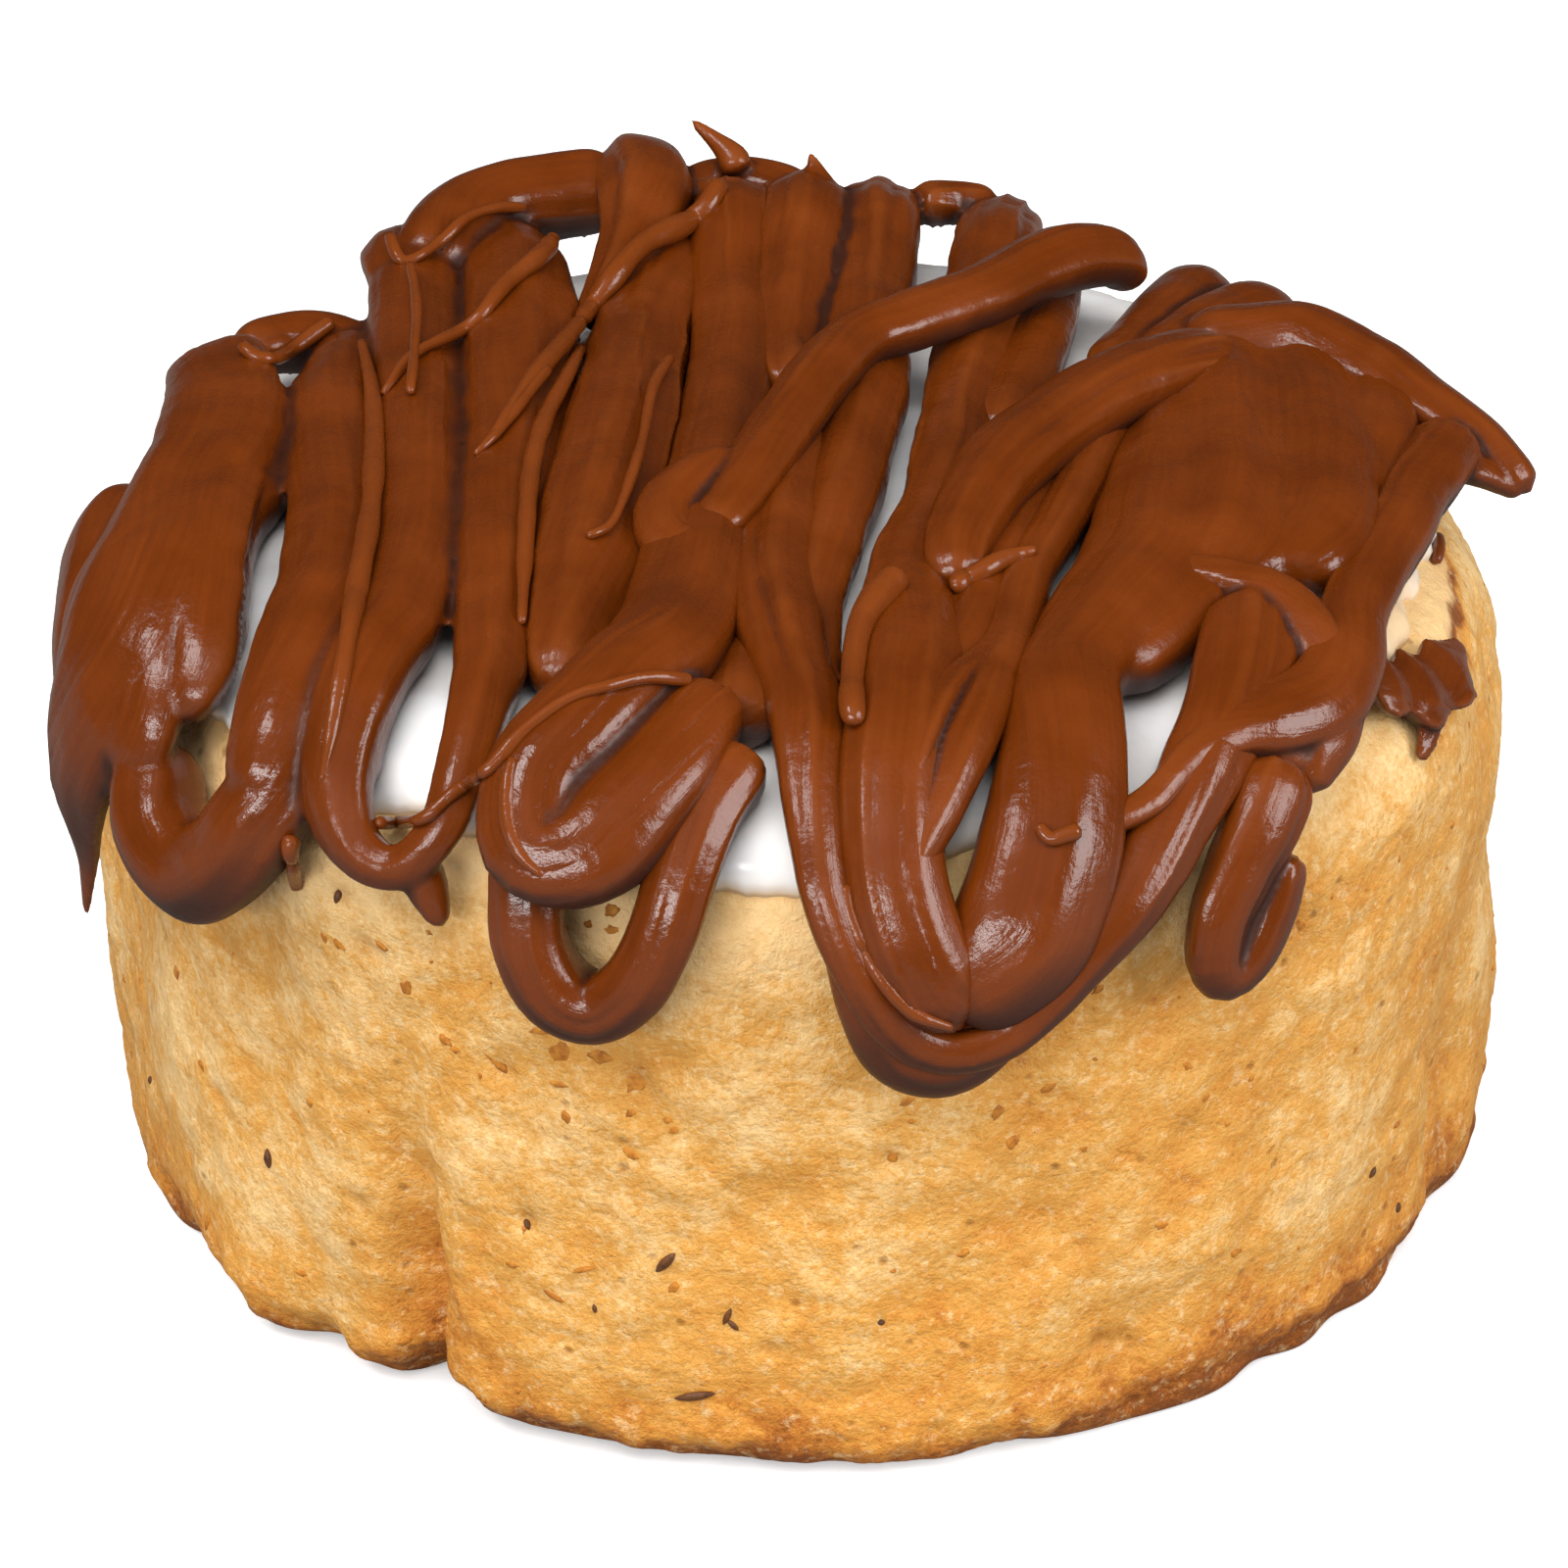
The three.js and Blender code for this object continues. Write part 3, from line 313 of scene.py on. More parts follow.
        (32.6, -46.5, 4.8, 2),
    ]),
    ("deep loop", "loops", 1, 2, [
        (2.4, -52, 4, 2.4), (3.5, -57.5, 3.8, 2.7), (5.1, -61.2, 3.7, 2.9), (7.2, -63.9, 3.7, 2.9),
        (10.4, -64.3, 3.7, 2.9), (13.4, -61.8, 3.7, 2.5), (15.8, -58.4, 3.8, 1.9),
    ]),
    ("smear", "loops", 0.34, 4, [
        (39.4, -31, 3.4, 2), (41.2, -30.4, 2.8, 2.9), (42.6, -29.6, 2.4, 2.1), (44.2, -28.6, 2, 3.3),
        (46, -26.6, 1.7, 2.3), (47.6, -24.4, 1.5, 2.9), (48.8, -21.6, 1.2, 1.4), (49.8, -19.4, 1, 0.7),
    ]),
    ("smear tip", "loops", 0.45, 2, [(45.6, -29, 1.7, 1.6), (46.2, -31.4, 1.3, 1), (45.9, -33.2, 1, 0.5)]),
    ("spur", "left", 0.9, 1, [(-26.4, -49, 4, 2.2), (-26, -51.5, 3.2, 1.5), (-25.8, -53.5, 2.6, 0.7)]),
]

# Straight out pulled points at the back: (across, along, lift, half width), base first
SPIKES = [
    [(-5.2, 39, 10.6, 2.2), (-6, 39.4, 12.2, 1.4), (-7.4, 39.8, 13.6, 0.8), (-9.2, 40, 15.2, 0.35)],
    [(2, 36, 10.4, 1.8), (1.4, 36.4, 12, 1), (0.8, 36.8, 13.4, 0.6), (0.4, 37, 14.4, 0.3)],
]

# Fine strands and threads of chocolate: name, radius at the start and the end in mm, how far the middle
# stands above what lies under it, in radii, and pixels of the 1600 x 1600 photograph that it passes
STRAND_PIXELS = [
    ("thread over the left back", 0.55, 0.4, 0.35, [
        (396, 237), (411, 266), (450, 246), (475, 223), (507, 212), (539, 212),
    ]),
    ("long thread from the arch", 0.9, 0.35, 0.35, [
        (566, 240), (557, 255), (514, 291), (482, 330), (421, 362), (389, 405),
    ]),
    ("thread with the hook", 0.45, 0.4, 0.35, [(418, 266), (425, 310), (423, 355), (418, 405)]),
    ("thread beside the hook", 0.6, 0.3, 0.35, [(560, 373), (511, 437), (482, 466)]),
    ("narrow rope to the middle", 1.2, 0.5, 0.1, [
        (736, 184), (714, 219), (654, 251), (607, 309), (579, 344), (536, 394), (500, 451),
    ]),
    ("bent thread", 0.5, 0.35, 0.35, [
        (686, 362), (668, 391), (654, 455), (632, 519), (621, 537), (596, 548),
    ]),
    ("trail on the fold", 0.5, 0.45, 0.35, [
        (382, 840), (429, 836), (464, 808), (500, 783), (536, 744), (583, 711), (619, 700), (661, 691),
        (708, 694),
    ]),
    ("thin rope in the middle", 1.2, 0.9, 0.35, [
        (921, 584), (904, 600), (879, 636), (869, 707), (872, 743),
    ]),
    ("tail of the nub", 1.0, 0.5, 0.35, [(968, 600), (992, 588), (1025, 570), (1060, 560)]),
    ("hook of the tail", 0.6, 0.4, 0.35, [(1106, 846), (1086, 852), (1072, 856), (1062, 846), (1060, 837)]),
    ("drip at the left", 0.7, 0.5, 0.35, [(300, 850), (296, 866), (300, 890), (304, 911)]),
    ("drip at the right", 0.7, 0.35, 0.35, [(1466, 545), (1468, 562), (1464, 578)]),
    ("lip of the back curl", 0.7, 0.6, 0.3, [
        (244, 350), (262, 364), (284, 365), (305, 352), (324, 338), (342, 326),
    ]),
    ("ridge between the left ropes", 0.95, 0.8, -0.68, [
        (368, 345), (380, 400), (382, 450), (378, 520), (364, 600), (350, 680), (338, 750), (328, 800),
    ]),
    ("ridge on the wide rope", 0.9, 0.7, -0.68, [
        (602, 338), (575, 390), (555, 430), (542, 480), (535, 580), (532, 640),
    ]),
    ("ridge of the fold", 0.8, 0.6, -0.68, [(524, 770), (518, 800), (519, 840), (532, 872), (557, 896)]),
    ("ridge of the swag", 0.8, 0.6, -0.68, [(862, 900), (868, 935), (900, 1000), (935, 1035), (975, 1050)]),
]

# Flat brown flecks of the crust: photograph pixel, length and width in mm, slope in degrees
FLECK_PIXELS = [
    ((623, 930), 1.9, 1.3, 20), ((624, 948), 1.3, 1, 0), ((600, 943), 0.9, 0.8, 40),
    ((511, 1087), 3.4, 1, -45), ((611, 1079), 2.6, 1.7, 10), ((648, 1102), 2.6, 2.2, 60),
    ((644, 1177), 1.6, 1.1, -40), ((681, 1143), 0.9, 0.7, 0), ((687, 1154), 1.1, 0.7, 30),
    ((910, 1182), 1.6, 1.2, 70), ((1070, 1110), 1.7, 1.1, 50), ((1034, 1165), 1.8, 1.2, 60),
    ((331, 957), 1.3, 0.9, 80), ((345, 962), 2.2, 1.3, -35), ((388, 965), 1.5, 1.3, 30),
    ((205, 1086), 1.2, 0.7, -50), ((415, 1007), 1.9, 1.3, 60), ((453, 1061), 1.6, 0.9, -40),
    ((464, 1071), 1.2, 0.7, -20), ((571, 1074), 2.6, 2.1, 70), ((571, 1107), 1.6, 0.8, 0),
    ((577, 1140), 1.4, 1, 80), ((535, 1254), 0.9, 0.6, 80), ((595, 1296), 2.6, 0.7, 20),
    ((565, 1323), 2.6, 0.8, -40), ((688, 1314), 1.4, 1, 60), ((457, 1347), 0.9, 0.7, 0),
    ((127, 999), 1.1, 0.8, 40), ((552, 1052), 2.2, 1, 10), ((983, 1279), 1.4, 1, 0),
    ((1120, 1010), 1.3, 0.9, 60), ((1230, 1120), 1.1, 0.8, 20),
]
LOOSE_FLECKS = 120

# Seeds and specks baked into the crust: photograph pixel, length and width in mm, slope in degrees
SEED_PIXELS = [
    ((274, 1182), 1.6, 0.75, 80), ((679, 1288), 2.4, 0.8, 55), ((709, 1424), 3.2, 0.8, 17),
    ((742, 1343), 1.6, 0.5, 70), ((748, 1352), 1.2, 0.45, 130), ((899, 1349), 0.6, 0.5, 0),
    ((345, 914), 1.2, 0.6, 70), ((1400, 1196), 1.0, 0.6, 60), ((1426, 1232), 0.9, 0.55, 110),
    ((607, 1335), 0.8, 0.4, 85), ((538, 1249), 1.0, 0.5, 110), ((154, 1102), 0.7, 0.5, 60),
]

# The camera that the photograph was taken with, in the bun's own place
PHOTO_SIZE = 1600
LENS_PIXELS = 5020.0
CAMERA_SLOPE = 32.0
CAMERA_DISTANCE = 400.0
CAMERA_TARGET = (-1.6, 0.0, 27.0)
SENSOR = 36.0


# Grain of the spheres that the bun and the icing are shaped from, and the bun's rings at which its top, rim,
# wall and foot end
BALL_RADIUS = 50.0
BUN_SEGMENTS = 640
BUN_RINGS = 150
BUN_ENDS = (20, 66, 128, 142)
ICING_SEGMENTS = 480
ICING_RINGS = 120

# Unevenness of the surfaces, each wave a height and a size in mm and a seed
CRUST_HILLS = ((0.45, 19, 1), (0.32, 9.5, 2), (0.2, 5.2, 3))
CRUST_GRAIN = ((0.16, 2.7, 4), (0.09, 1.5, 5))
FOOT_RAGS = ((0.6, 4.2, 8), (0.4, 2.0, 9))
ICING_RAGS = ((0.8, 5, 41), (0.6, 2.4, 42), (0.3, 1.2, 45))

# The same as shares of a thickness or a half width
ICING_WAVES = ((0.12, 9, 43), (0.06, 4, 44))
ROPE_WAVES = ((0.05, 9, 11), (0.03, 4, 12))

# How much each cause darkens the crust towards the brown of the foot, where 1 is that brown: some are the
# crust's own browning, some are painted shade or painted light
BROWNING_AND_SHADE = {
    "ground": 0.22,
    # painted shade: browner in the crust's hollows and creases, paler on its bumps
    "hills": -0.34,
    "grain": -0.35,
    "crease": 0.12,
    "cloud": 0.16,
    # painted shade: darker towards the bottom
    "low": 0.42,
    # the foot's own browning
    "foot": 0.38,
    # painted shade on the front right, in the cleft and in the fold
    "right": 0.1,
    "cleft": 0.34,
    "fold": 0.28,
    # the dark seam of the outer coil
    "seam": 1.5,
    # painted light: paler near the top
    "top": -0.12,
}

# Azimuths of what is painted on the crust, where the cleft, the right side and the fold take painted shade,
# and the seam's way along the chart there, in mm
CLEFT_AT = -122.0
RIGHT_SHADE_AT = -48.0
FOLD_AT = -24.0
SEAM_AT = -16.0
SEAM_FAR = 52.5
LEFT_FILM_AT = -146.0
THIN_ICING_AT = -26.0

# Each group of ropes: its grain as a share of the joining grain, rounds of smoothing, how much its creases
# deepen and how strongly painted shade darkens its creases and painted light lightens its ridges
GROUPS = {
    "left": (1.12, 9, 0.3, 0.6),
    "middle": (1.15, 3, 0.6, 0.8),
    "right": (1.0, 4, 0.5, 0.8),
    "sheet": (1.08, 40, 0.0, 0.3),
    "fold": (0.9, 6, 0.3, 0.8),
    "front": (0.9, 3, 0.4, 0.9),
    "loops": (0.9, 3, 0.4, 0.9),
    "crossing": (0.9, 5, 0.4, 0.9),
}

# Patterns of the materials: scale in a metre, detail and roughness
CRUST_MOTTLE = (210, 6, 0.68)
CRUST_SPECK = (1800, 4, 0.7)
CRUST_DRY = (820, 5, 0.75)
ICING_CLOUD = (160, 3, 0.5)
ICING_FINE = (420, 2, 0.5)
CREAM_STREAK = (1.0, 3, 0.6)
CREAM_CLOUD = (110, 3, 0.5)
CREAM_RIPPLE = (760, 4, 0.6)
HUSK = (1800, 3, 0.6)
PORE_SCALE = 480
PORE_SHARE = 0.16

# Colours that no setting changes, from 0 to 255
ICING_SHADE = (240, 234, 228)
SEED_COLOURS = ((58, 30, 10), (112, 66, 26))
FLECK_COLOURS = ((150, 84, 14), (206, 138, 44))

# The lamps: name, azimuth, slope, distance, size, power and whether the gloss shows them
LAMPS = [
    ("front softbox", -28, 21, 0.9, (0.5, 0.1), 3.1, True),
    ("left strip", -66, 52, 0.8, (0.32, 0.16), 1.6, True),
    ("right fill", 62, 26, 0.9, (0.5, 0.5), 5.2, True),
    ("top fill", -10, 60, 0.9, (0.6, 0.6), 7.0, False),
]
SKY_FILL = 0.48
SKY_SHINE = 0.03
FLOOR_GLOW = 0.3
WHITE = (1, 1, 1, 1)


# Sums that the surfaces share

NOISE_CELLS = 1024
NOISE_SHIFT = 512.37
NOISE_GAIN = 1.8


def bell(x):
    return np.exp(-np.square(x))


def degrees_between(turn, at):
    """How far apart an azimuth in radians and one in degrees are, in degrees."""
    return np.degrees(np.arccos(np.clip(np.cos(turn - math.radians(at)), -1, 1)))


def around(turn, at, half):
    """1 at one azimuth, fading to either side over a half width in degrees."""
    return bell(degrees_between(turn, at) / half)


def noise(points, size, seed):
    """Smooth gradient noise between about -1 and 1 at points in mm, with features of a size in mm."""
    rng = np.random.default_rng(seed)
    slopes = rng.normal(size=(NOISE_CELLS, 3))
    slopes /= np.linalg.norm(slopes, axis=1)[:, None]
    order = rng.permutation(NOISE_CELLS)
    scaled = np.asarray(points, float) / size + NOISE_SHIFT
    cell = np.floor(scaled).astype(int)
    part = scaled - cell
    ease = part * part * part * (part * (part * 6 - 15) + 10)
    total = np.zeros(len(scaled))
    for corner in np.ndindex(2, 2, 2):
        k = cell + corner
        pick = 0
        for axis in (2, 1, 0):
            pick = order[(k[:, axis] + pick) % NOISE_CELLS]
        weight = np.prod(np.where(np.array(corner) == 1, ease, 1 - ease), axis=1)
        total += weight * np.einsum("ij,ij->i", slopes[pick], part - corner)
    return total * NOISE_GAIN


def layers(points, waves, start=0):
    """Several waves of noise, added to a start."""
    return sum((height * noise(points, size, seed) for height, size, seed in waves), start)


def smooth_step(low, high, x):
    t = np.clip((x - low) / (high - low), 0, 1)
    return t * t * (3 - 2 * t)


# The roll's chart: turn is the azimuth, far the way from the middle of the top over the rim and down


def dent(turn, z):
    deep = np.zeros(np.broadcast(turn, z).shape)
    for at, half, height, rise, depth in FEATURES:
        deep = deep + depth * around(turn, at, half) * bell((z - height) / rise)
    return deep


def foot_tuck(turn):
    share = around(turn, FOOT_TUCK_AT, FOOT_TUCK_TURN)
    return FOOT_TUCK_SIDE + (FOOT_TUCK_FRONT - FOOT_TUCK_SIDE) * share


def scallop(turn):
    return sum(depth * around(turn, at, NOTCH_TURN) for at, depth in NOTCHES)


def rim(turn):
    """The radius of the rim's rounding, and of the flat top inside it."""
    edge = EDGE_FRONT + (EDGE_BACK - EDGE_FRONT) * (0.5 + 0.5 * np.sin(turn)) ** 2
    wall = WALL_RADIUS * (1 - BACK_FLAT * np.maximum(0, np.sin(turn)) ** 2)
    return edge, wall - edge


def skin(turn, far, lift=0.0, dented=True):
    """A point of the bun's skin in mm, lifted off it."""
    edge, flat = rim(turn)
    bend = np.clip((far - flat) / edge, 0, math.pi / 2)
    down = np.maximum(far - flat - edge * math.pi / 2, 0)
    level = np.minimum(far, flat)
    r = level + (edge + lift) * np.sin(bend)
    top = TOP_HEIGHT - TOP_FALL * level * np.sin(turn) + TOP_DOME * (1 - (level / flat) ** 2)
    z = top - edge * (1 - np.cos(bend)) - down + lift * np.cos(bend)
    if dented:
        r = r - dent(turn, z) * np.sin(bend)
    return np.stack([r * np.cos(turn), r * np.sin(turn), z], -1)


def laid(across, along, lift):
    """The same over the plain skin without dents, from the unrolled distances across and along."""
    return skin(np.arctan2(along, across), np.hypot(across, along), lift, False)


def icing_reach(turn):
    """The way from the top's middle to the icing's wavy edge."""
    front = 0.5 - 0.5 * np.sin(turn)
    waves = 0.9 * np.sin(3 * turn + 1) + 0.7 * np.sin(7 * turn) + 0.5 * np.sin(11 * turn + 2)
    return ICING_REACH + ICING_FRONT * front**2 - ICING_SIDE * np.cos(turn) + waves


def ground_lift(across, along):
    """How high over the bun a rope lies: on the icing inside its edge, and on the crust beyond it."""
    inside = icing_reach(np.arctan2(along, across)) - np.hypot(across, along)
    return ICING_THICK * smooth_step(-0.5, 2.5, inside)


# Making meshes


def alone(piece):
    bpy.ops.object.select_all(action="DESELECT")
    piece.select_set(True)
    bpy.context.view_layer.objects.active = piece


def finish_with(piece, kind, **settings):
    """Adds a modifier and applies it."""
    alone(piece)
    modifier = piece.modifiers.new(kind.title(), kind)
    for name, value in settings.items():
        setattr(modifier, name, value)
    bpy.ops.object.modifier_apply(modifier=modifier.name)


def points_of(piece):
    co = np.empty(len(piece.data.vertices) * 3, np.float32)
    piece.data.vertices.foreach_get("co", co)
    return co.reshape(-1, 3).astype(float) / MM


def put_points(piece, points):
    piece.data.vertices.foreach_set("co", (points * MM).astype(np.float32).ravel())
    piece.data.update()


def normals_of(piece):
    normals = np.empty(len(piece.data.vertices) * 3, np.float32)
    piece.data.vertex_normals.foreach_get("vector", normals)
    return normals.reshape(-1, 3).astype(float)


def paint(piece, name, values):
    """Keeps one number or one vector for each point as an attribute that the material reads."""
    kind = "FLOAT" if values.ndim == 1 else "FLOAT_VECTOR"
    field = "value" if values.ndim == 1 else "vector"
    layer = piece.data.attributes.get(name) or piece.data.attributes.new(name, kind, "POINT")
    layer.data.foreach_set(field, values.astype(np.float32).ravel())


def sphere(name, segments, rings, radius):
    """A sphere to shape, and its own points in mm."""
    bpy.ops.object.select_all(action="DESELECT")
    bpy.ops.mesh.primitive_uv_sphere_add(segments=segments, ring_count=rings, radius=radius * MM)
    piece = bpy.context.object
    piece.name = name
    return piece, points_of(piece)


def turn_and_fall(ball):
    """Each point's azimuth, and its way from the sphere's top to its bottom, from 0 to 1."""
    fall = np.arccos(np.clip(ball[:, 2] / BALL_RADIUS, -1, 1)) / math.pi
    return np.arctan2(ball[:, 1], ball[:, 0]), fall


def mesh_piece(name, points, faces):
    mesh = bpy.data.meshes.new(name)
    mesh.from_pydata((points * MM).tolist(), [], faces)
    mesh.update()
    piece = bpy.data.objects.new(name, mesh)
    bpy.context.scene.collection.objects.link(piece)
    return piece


def join(pieces, name):
    bpy.ops.object.select_all(action="DESELECT")
    for piece in pieces:
        piece.select_set(True)
    bpy.context.view_layer.objects.active = pieces[0]
    bpy.ops.object.join()
    pieces[0].name = name
    return pieces[0]


def settle(piece, material, slot, *nodes):
    """Shades the piece smooth and gives it its material, body and nodes; the slot is not used."""
    alone(piece)
    bpy.ops.object.shade_smooth()
    piece.data.materials.clear()
    piece.data.materials.append(material)
    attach(piece, "root")
    if nodes:
        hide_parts(*nodes)


def bun_axis():
    """The bun's own axis in the frame, in mm: the CAD bun's box set against the box of the same form here."""
    turn = np.radians(np.arange(0, 360, 0.5))[:, None]
    edge, flat = rim(turn)
    side = flat + edge * math.pi / 2
    points = skin(turn, side + np.arange(0, 40, 1.0)[None, :]).reshape(-1, 3)
    low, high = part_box("bun")
    return (np.array(low + high)[:2] / MM - points.min(0)[:2] - points.max(0)[:2]) / 2


AXIS = np.append(bun_axis(), 0.0)


def camera_place():
    """Where the photograph was taken from, and the view's right, up and forward, in mm in the frame."""
    slope = math.radians(CAMERA_SLOPE)
    back = np.array([0, -math.cos(slope), math.sin(slope)])
    right = np.array([1.0, 0.0, 0.0])
    eye = AXIS + np.array(CAMERA_TARGET) + back * CAMERA_DISTANCE
    return eye, right, np.cross(back, right), -back


def seen_at(tree, pixel):
    """The point and the normal that show at a pixel of the photograph, in mm, or None."""
    eye, right, up, ahead = camera_place()
    x = (pixel[0] - PHOTO_SIZE / 2) / LENS_PIXELS
    y = (PHOTO_SIZE / 2 - pixel[1]) / LENS_PIXELS
    ray = ahead + right * x + up * y
    hit, normal, _, _ = tree.ray_cast(Vector(eye * MM), Vector(ray / np.linalg.norm(ray)))
    return None if hit is None else (np.array(hit) / MM, np.array(normal))


def tree_of(*pieces):
    points, faces = [], []
    for piece in pieces:
        start = sum(len(p) for p in points)
        points.append(points_of(piece) * MM)
        faces += [tuple(start + i for i in face.vertices) for face in piece.data.polygons]
    return BVHTree.FromPolygons(np.concatenate(points).tolist(), faces)


# Tubes

ROPE_STEP = 0.7
ROPE_SIDES = 36
SPIKE_SEED = 60
STRAND_SEED = 80
FLOW_STEP = 90
STRAND_STEP = 4.0
STRAND_SIDES = 14


def spline(points, step):
    """A smooth line through points, as rows of the same numbers, about a step apart in mm on the chart."""
    points = np.asarray(points, float)
    first = 2 * points[0] - points[1]
    last = 2 * points[-1] - points[-2]
    padded = np.vstack([first, points, last])
    rows = []
    for a, b, c, d in zip(padded, padded[1:], padded[2:], padded[3:]):
        knots = [0.0]
        for one, other in ((a, b), (b, c), (c, d)):
            knots.append(knots[-1] + max(np.linalg.norm((other - one)[:2]), 0.5) ** 0.5)
        t0, t1, t2, t3 = knots
        count = max(2, round(np.linalg.norm((c - b)[:3]) / step))
        for t in np.linspace(t1, t2, count, endpoint=False):
            ab = a + (b - a) * (t - t0) / (t1 - t0)
            bc = b + (c - b) * (t - t1) / (t2 - t1)
            cd = c + (d - c) * (t - t2) / (t3 - t2)
            abc = ab + (bc - ab) * (t - t0) / (t2 - t0)
            bcd = bc + (cd - bc) * (t - t1) / (t3 - t1)
            rows.append(abc + (bcd - abc) * (t - t1) / (t2 - t1))
    rows.append(points[-1])
    return np.array(rows)


def tube(centres, ups, wide, high, low, sides, ridges=None):
    """Points and faces of a closed tube with round ends, and its flow: across, along and its share."""
    run = np.append(0, np.cumsum(np.linalg.norm(np.diff(centres, axis=0), axis=1)))
    length = run[-1]
    start, end = wide[0], wide[-1]
    near = np.minimum(np.minimum(run / start, (length - run) / end), 1)
    round_end = np.sqrt(np.clip(1 - (1 - near) ** 2, 0.0, 1))
    ahead = np.gradient(centres, axis=0)
    ahead /= np.linalg.norm(ahead, axis=1)[:, None]
    ups = ups - ahead * np.einsum("ij,ij->i", ups, ahead)[:, None]
    ups /= np.linalg.norm(ups, axis=1)[:, None]
    side = np.cross(ups, ahead)
    keep = np.arange(len(run))[1:-1]
    angle = (np.arange(sides) + 0.5) * 2 * math.pi / sides - math.pi / 2
    points, flow = [centres[0]], [np.array([0, 0, 0.0])]
    for i in keep:
        swell = 1 if ridges is None else ridges(angle, run[i])
        tall = np.where(np.sin(angle) > 0, high[i], low[i])
        rise = np.sin(angle) * tall * swell * round_end[i]
        out = np.cos(angle) * wide[i] * swell * round_end[i]
        points.append(centres[i] + side[i] * out[:, None] + ups[i] * rise[:, None])
        flow.append(np.stack([angle * wide[i], np.full(sides, run[i]), np.full(sides, run[i] / length)], 1))
    points.append(centres[-1])
    flow.append(np.array([0, length, 1.0]))
    rings = len(keep)
    faces = [(0, 1 + (j + 1) % sides, 1 + j) for j in range(sides)]
    for i in range(rings - 1):
        a = 1 + i * sides
        for j in range(sides):
            k = (j + 1) % sides
            faces.append((a + j, a + k, a + sides + k))
            faces.append((a + j, a + sides + k, a + sides + j))
    base = 1 + (rings - 1) * sides
    tip = 1 + rings * sides
    faces += [(base + j, base + (j + 1) % sides, tip) for j in range(sides)]
    return np.vstack(points), faces, np.vstack(flow)


def ridge_rule(count, seed):
    """Soft ridges and creases that run along a rope and drift slowly round it."""
    rng = np.random.default_rng(seed)
    at = np.radians(np.linspace(25, 155, count) if count > 1 else np.array([80.0]))
    at += rng.uniform(-0.2, 0.2, count)
    tall = rng.uniform(0.05, 0.1, count)
    broad = rng.uniform(0.25, 0.42, count)
    crease = np.radians(rng.uniform(40, 140, max(count - 1, 1)))
    deep = rng.uniform(0.03, 0.07, len(crease))
    drift = rng.uniform(0.02, 0.05, 2 * count)
    phase = rng.uniform(0, 6.3, 2 * count)

    def swell(angle, run):
        total = np.ones_like(angle)
        for j in range(count):
            middle = at[j] + 0.22 * math.sin(drift[j] * run + phase[j])
            total += tall[j] * bell((angle - middle) / broad[j])
        for j in range(len(crease)):
            middle = crease[j] + 0.3 * math.sin(drift[count + j] * run + phase[count + j])
            total -= deep[j] * bell((angle - middle) / 0.13)
        return total - 0.04

    return swell


def rope_tube(flat, ridges, path, seed):
    """One rope over the bun, set down on what lies under it."""
    rows = spline(path, ROPE_STEP)
    run = np.append(0, np.cumsum(np.linalg.norm(np.diff(rows[:, :2], axis=0), axis=1)))
    line = np.stack([run, np.full_like(run, seed * 31.7), np.zeros_like(run)], 1)
    half = np.maximum(rows[:, 3], 0.4) * layers(line, ROPE_WAVES, 1)
    across = rows[:, 0] + 0.25 * noise(line, 11, 13)
    along = rows[:, 1] + 0.25 * noise(line, 11, 14)
    lift = rows[:, 2] + 0.2 * noise(line, 8, 15)
    centres = laid(across, along, lift)
    ups = laid(across, along, lift + 10) - centres
    high = half * flat
    gap = lift - high - ground_lift(across, along)
    reach = lift - ground_lift(across, along) + 0.5
    touch = smooth_step(2.2, 1.2, gap)
    low = high + touch * (np.clip(reach, high * 0.7, high * 1.9) - high)
    return tube(centres + AXIS, ups, half, high, low, ROPE_SIDES, ridge_rule(ridges, seed + 5))


def carry_flow(piece, points, faces, flow):
    """Gives each point of a joined piece the flow of the rope that it was made from."""
    tree = BVHTree.FromPolygons((points * MM).tolist(), faces)
    mesh = piece.data
    near = [tree.find_nearest(vertex.co) for vertex in mesh.vertices]
    spots = np.array([hit[0] for hit in near]) / MM
    corners = np.array(faces)[[hit[2] for hit in near]]
    a, b, c = (points[corners[:, k]] for k in range(3))
    whole = np.linalg.norm(np.cross(b - a, c - a), axis=1) + 1e-9
    pairs = ((b, c), (c, a), (a, b))
    shares = np.stack([np.linalg.norm(np.cross(p - spots, q - spots), axis=1) / whole for p, q in pairs], 1)
    shares /= shares.sum(1)[:, None] + 1e-9
    paint(piece, "flow", sum(flow[corners[:, k]] * shares[:, k : k + 1] for k in range(3)))


def evened(piece, values, rounds):
    """Values averaged again and again over each point's neighbours."""
    mesh = piece.data
    edges = np.empty(2 * len(mesh.edges), int)
    mesh.edges.foreach_get("vertices", edges)
    first, second = edges.reshape(-1, 2).T
    count = len(mesh.vertices)
    links = np.bincount(first, minlength=count) + np.bincount(second, minlength=count)
    for _ in range(rounds):
        sums = [np.bincount(first, v[second], count) + np.bincount(second, v[first], count) for v in values.T]
        values = 0.3 * values + 0.7 * np.stack(sums, 1) / links[:, None]
    return values


def drawn_lines(flow, size, thin, seed):
    """Thin lines that run along a rope: 1 on a line and 0 beside it."""
    stretched = flow * (1, 0.05, 40)
    return np.clip(1 - np.abs(noise(stretched, size, seed)) / thin, 0, 1)


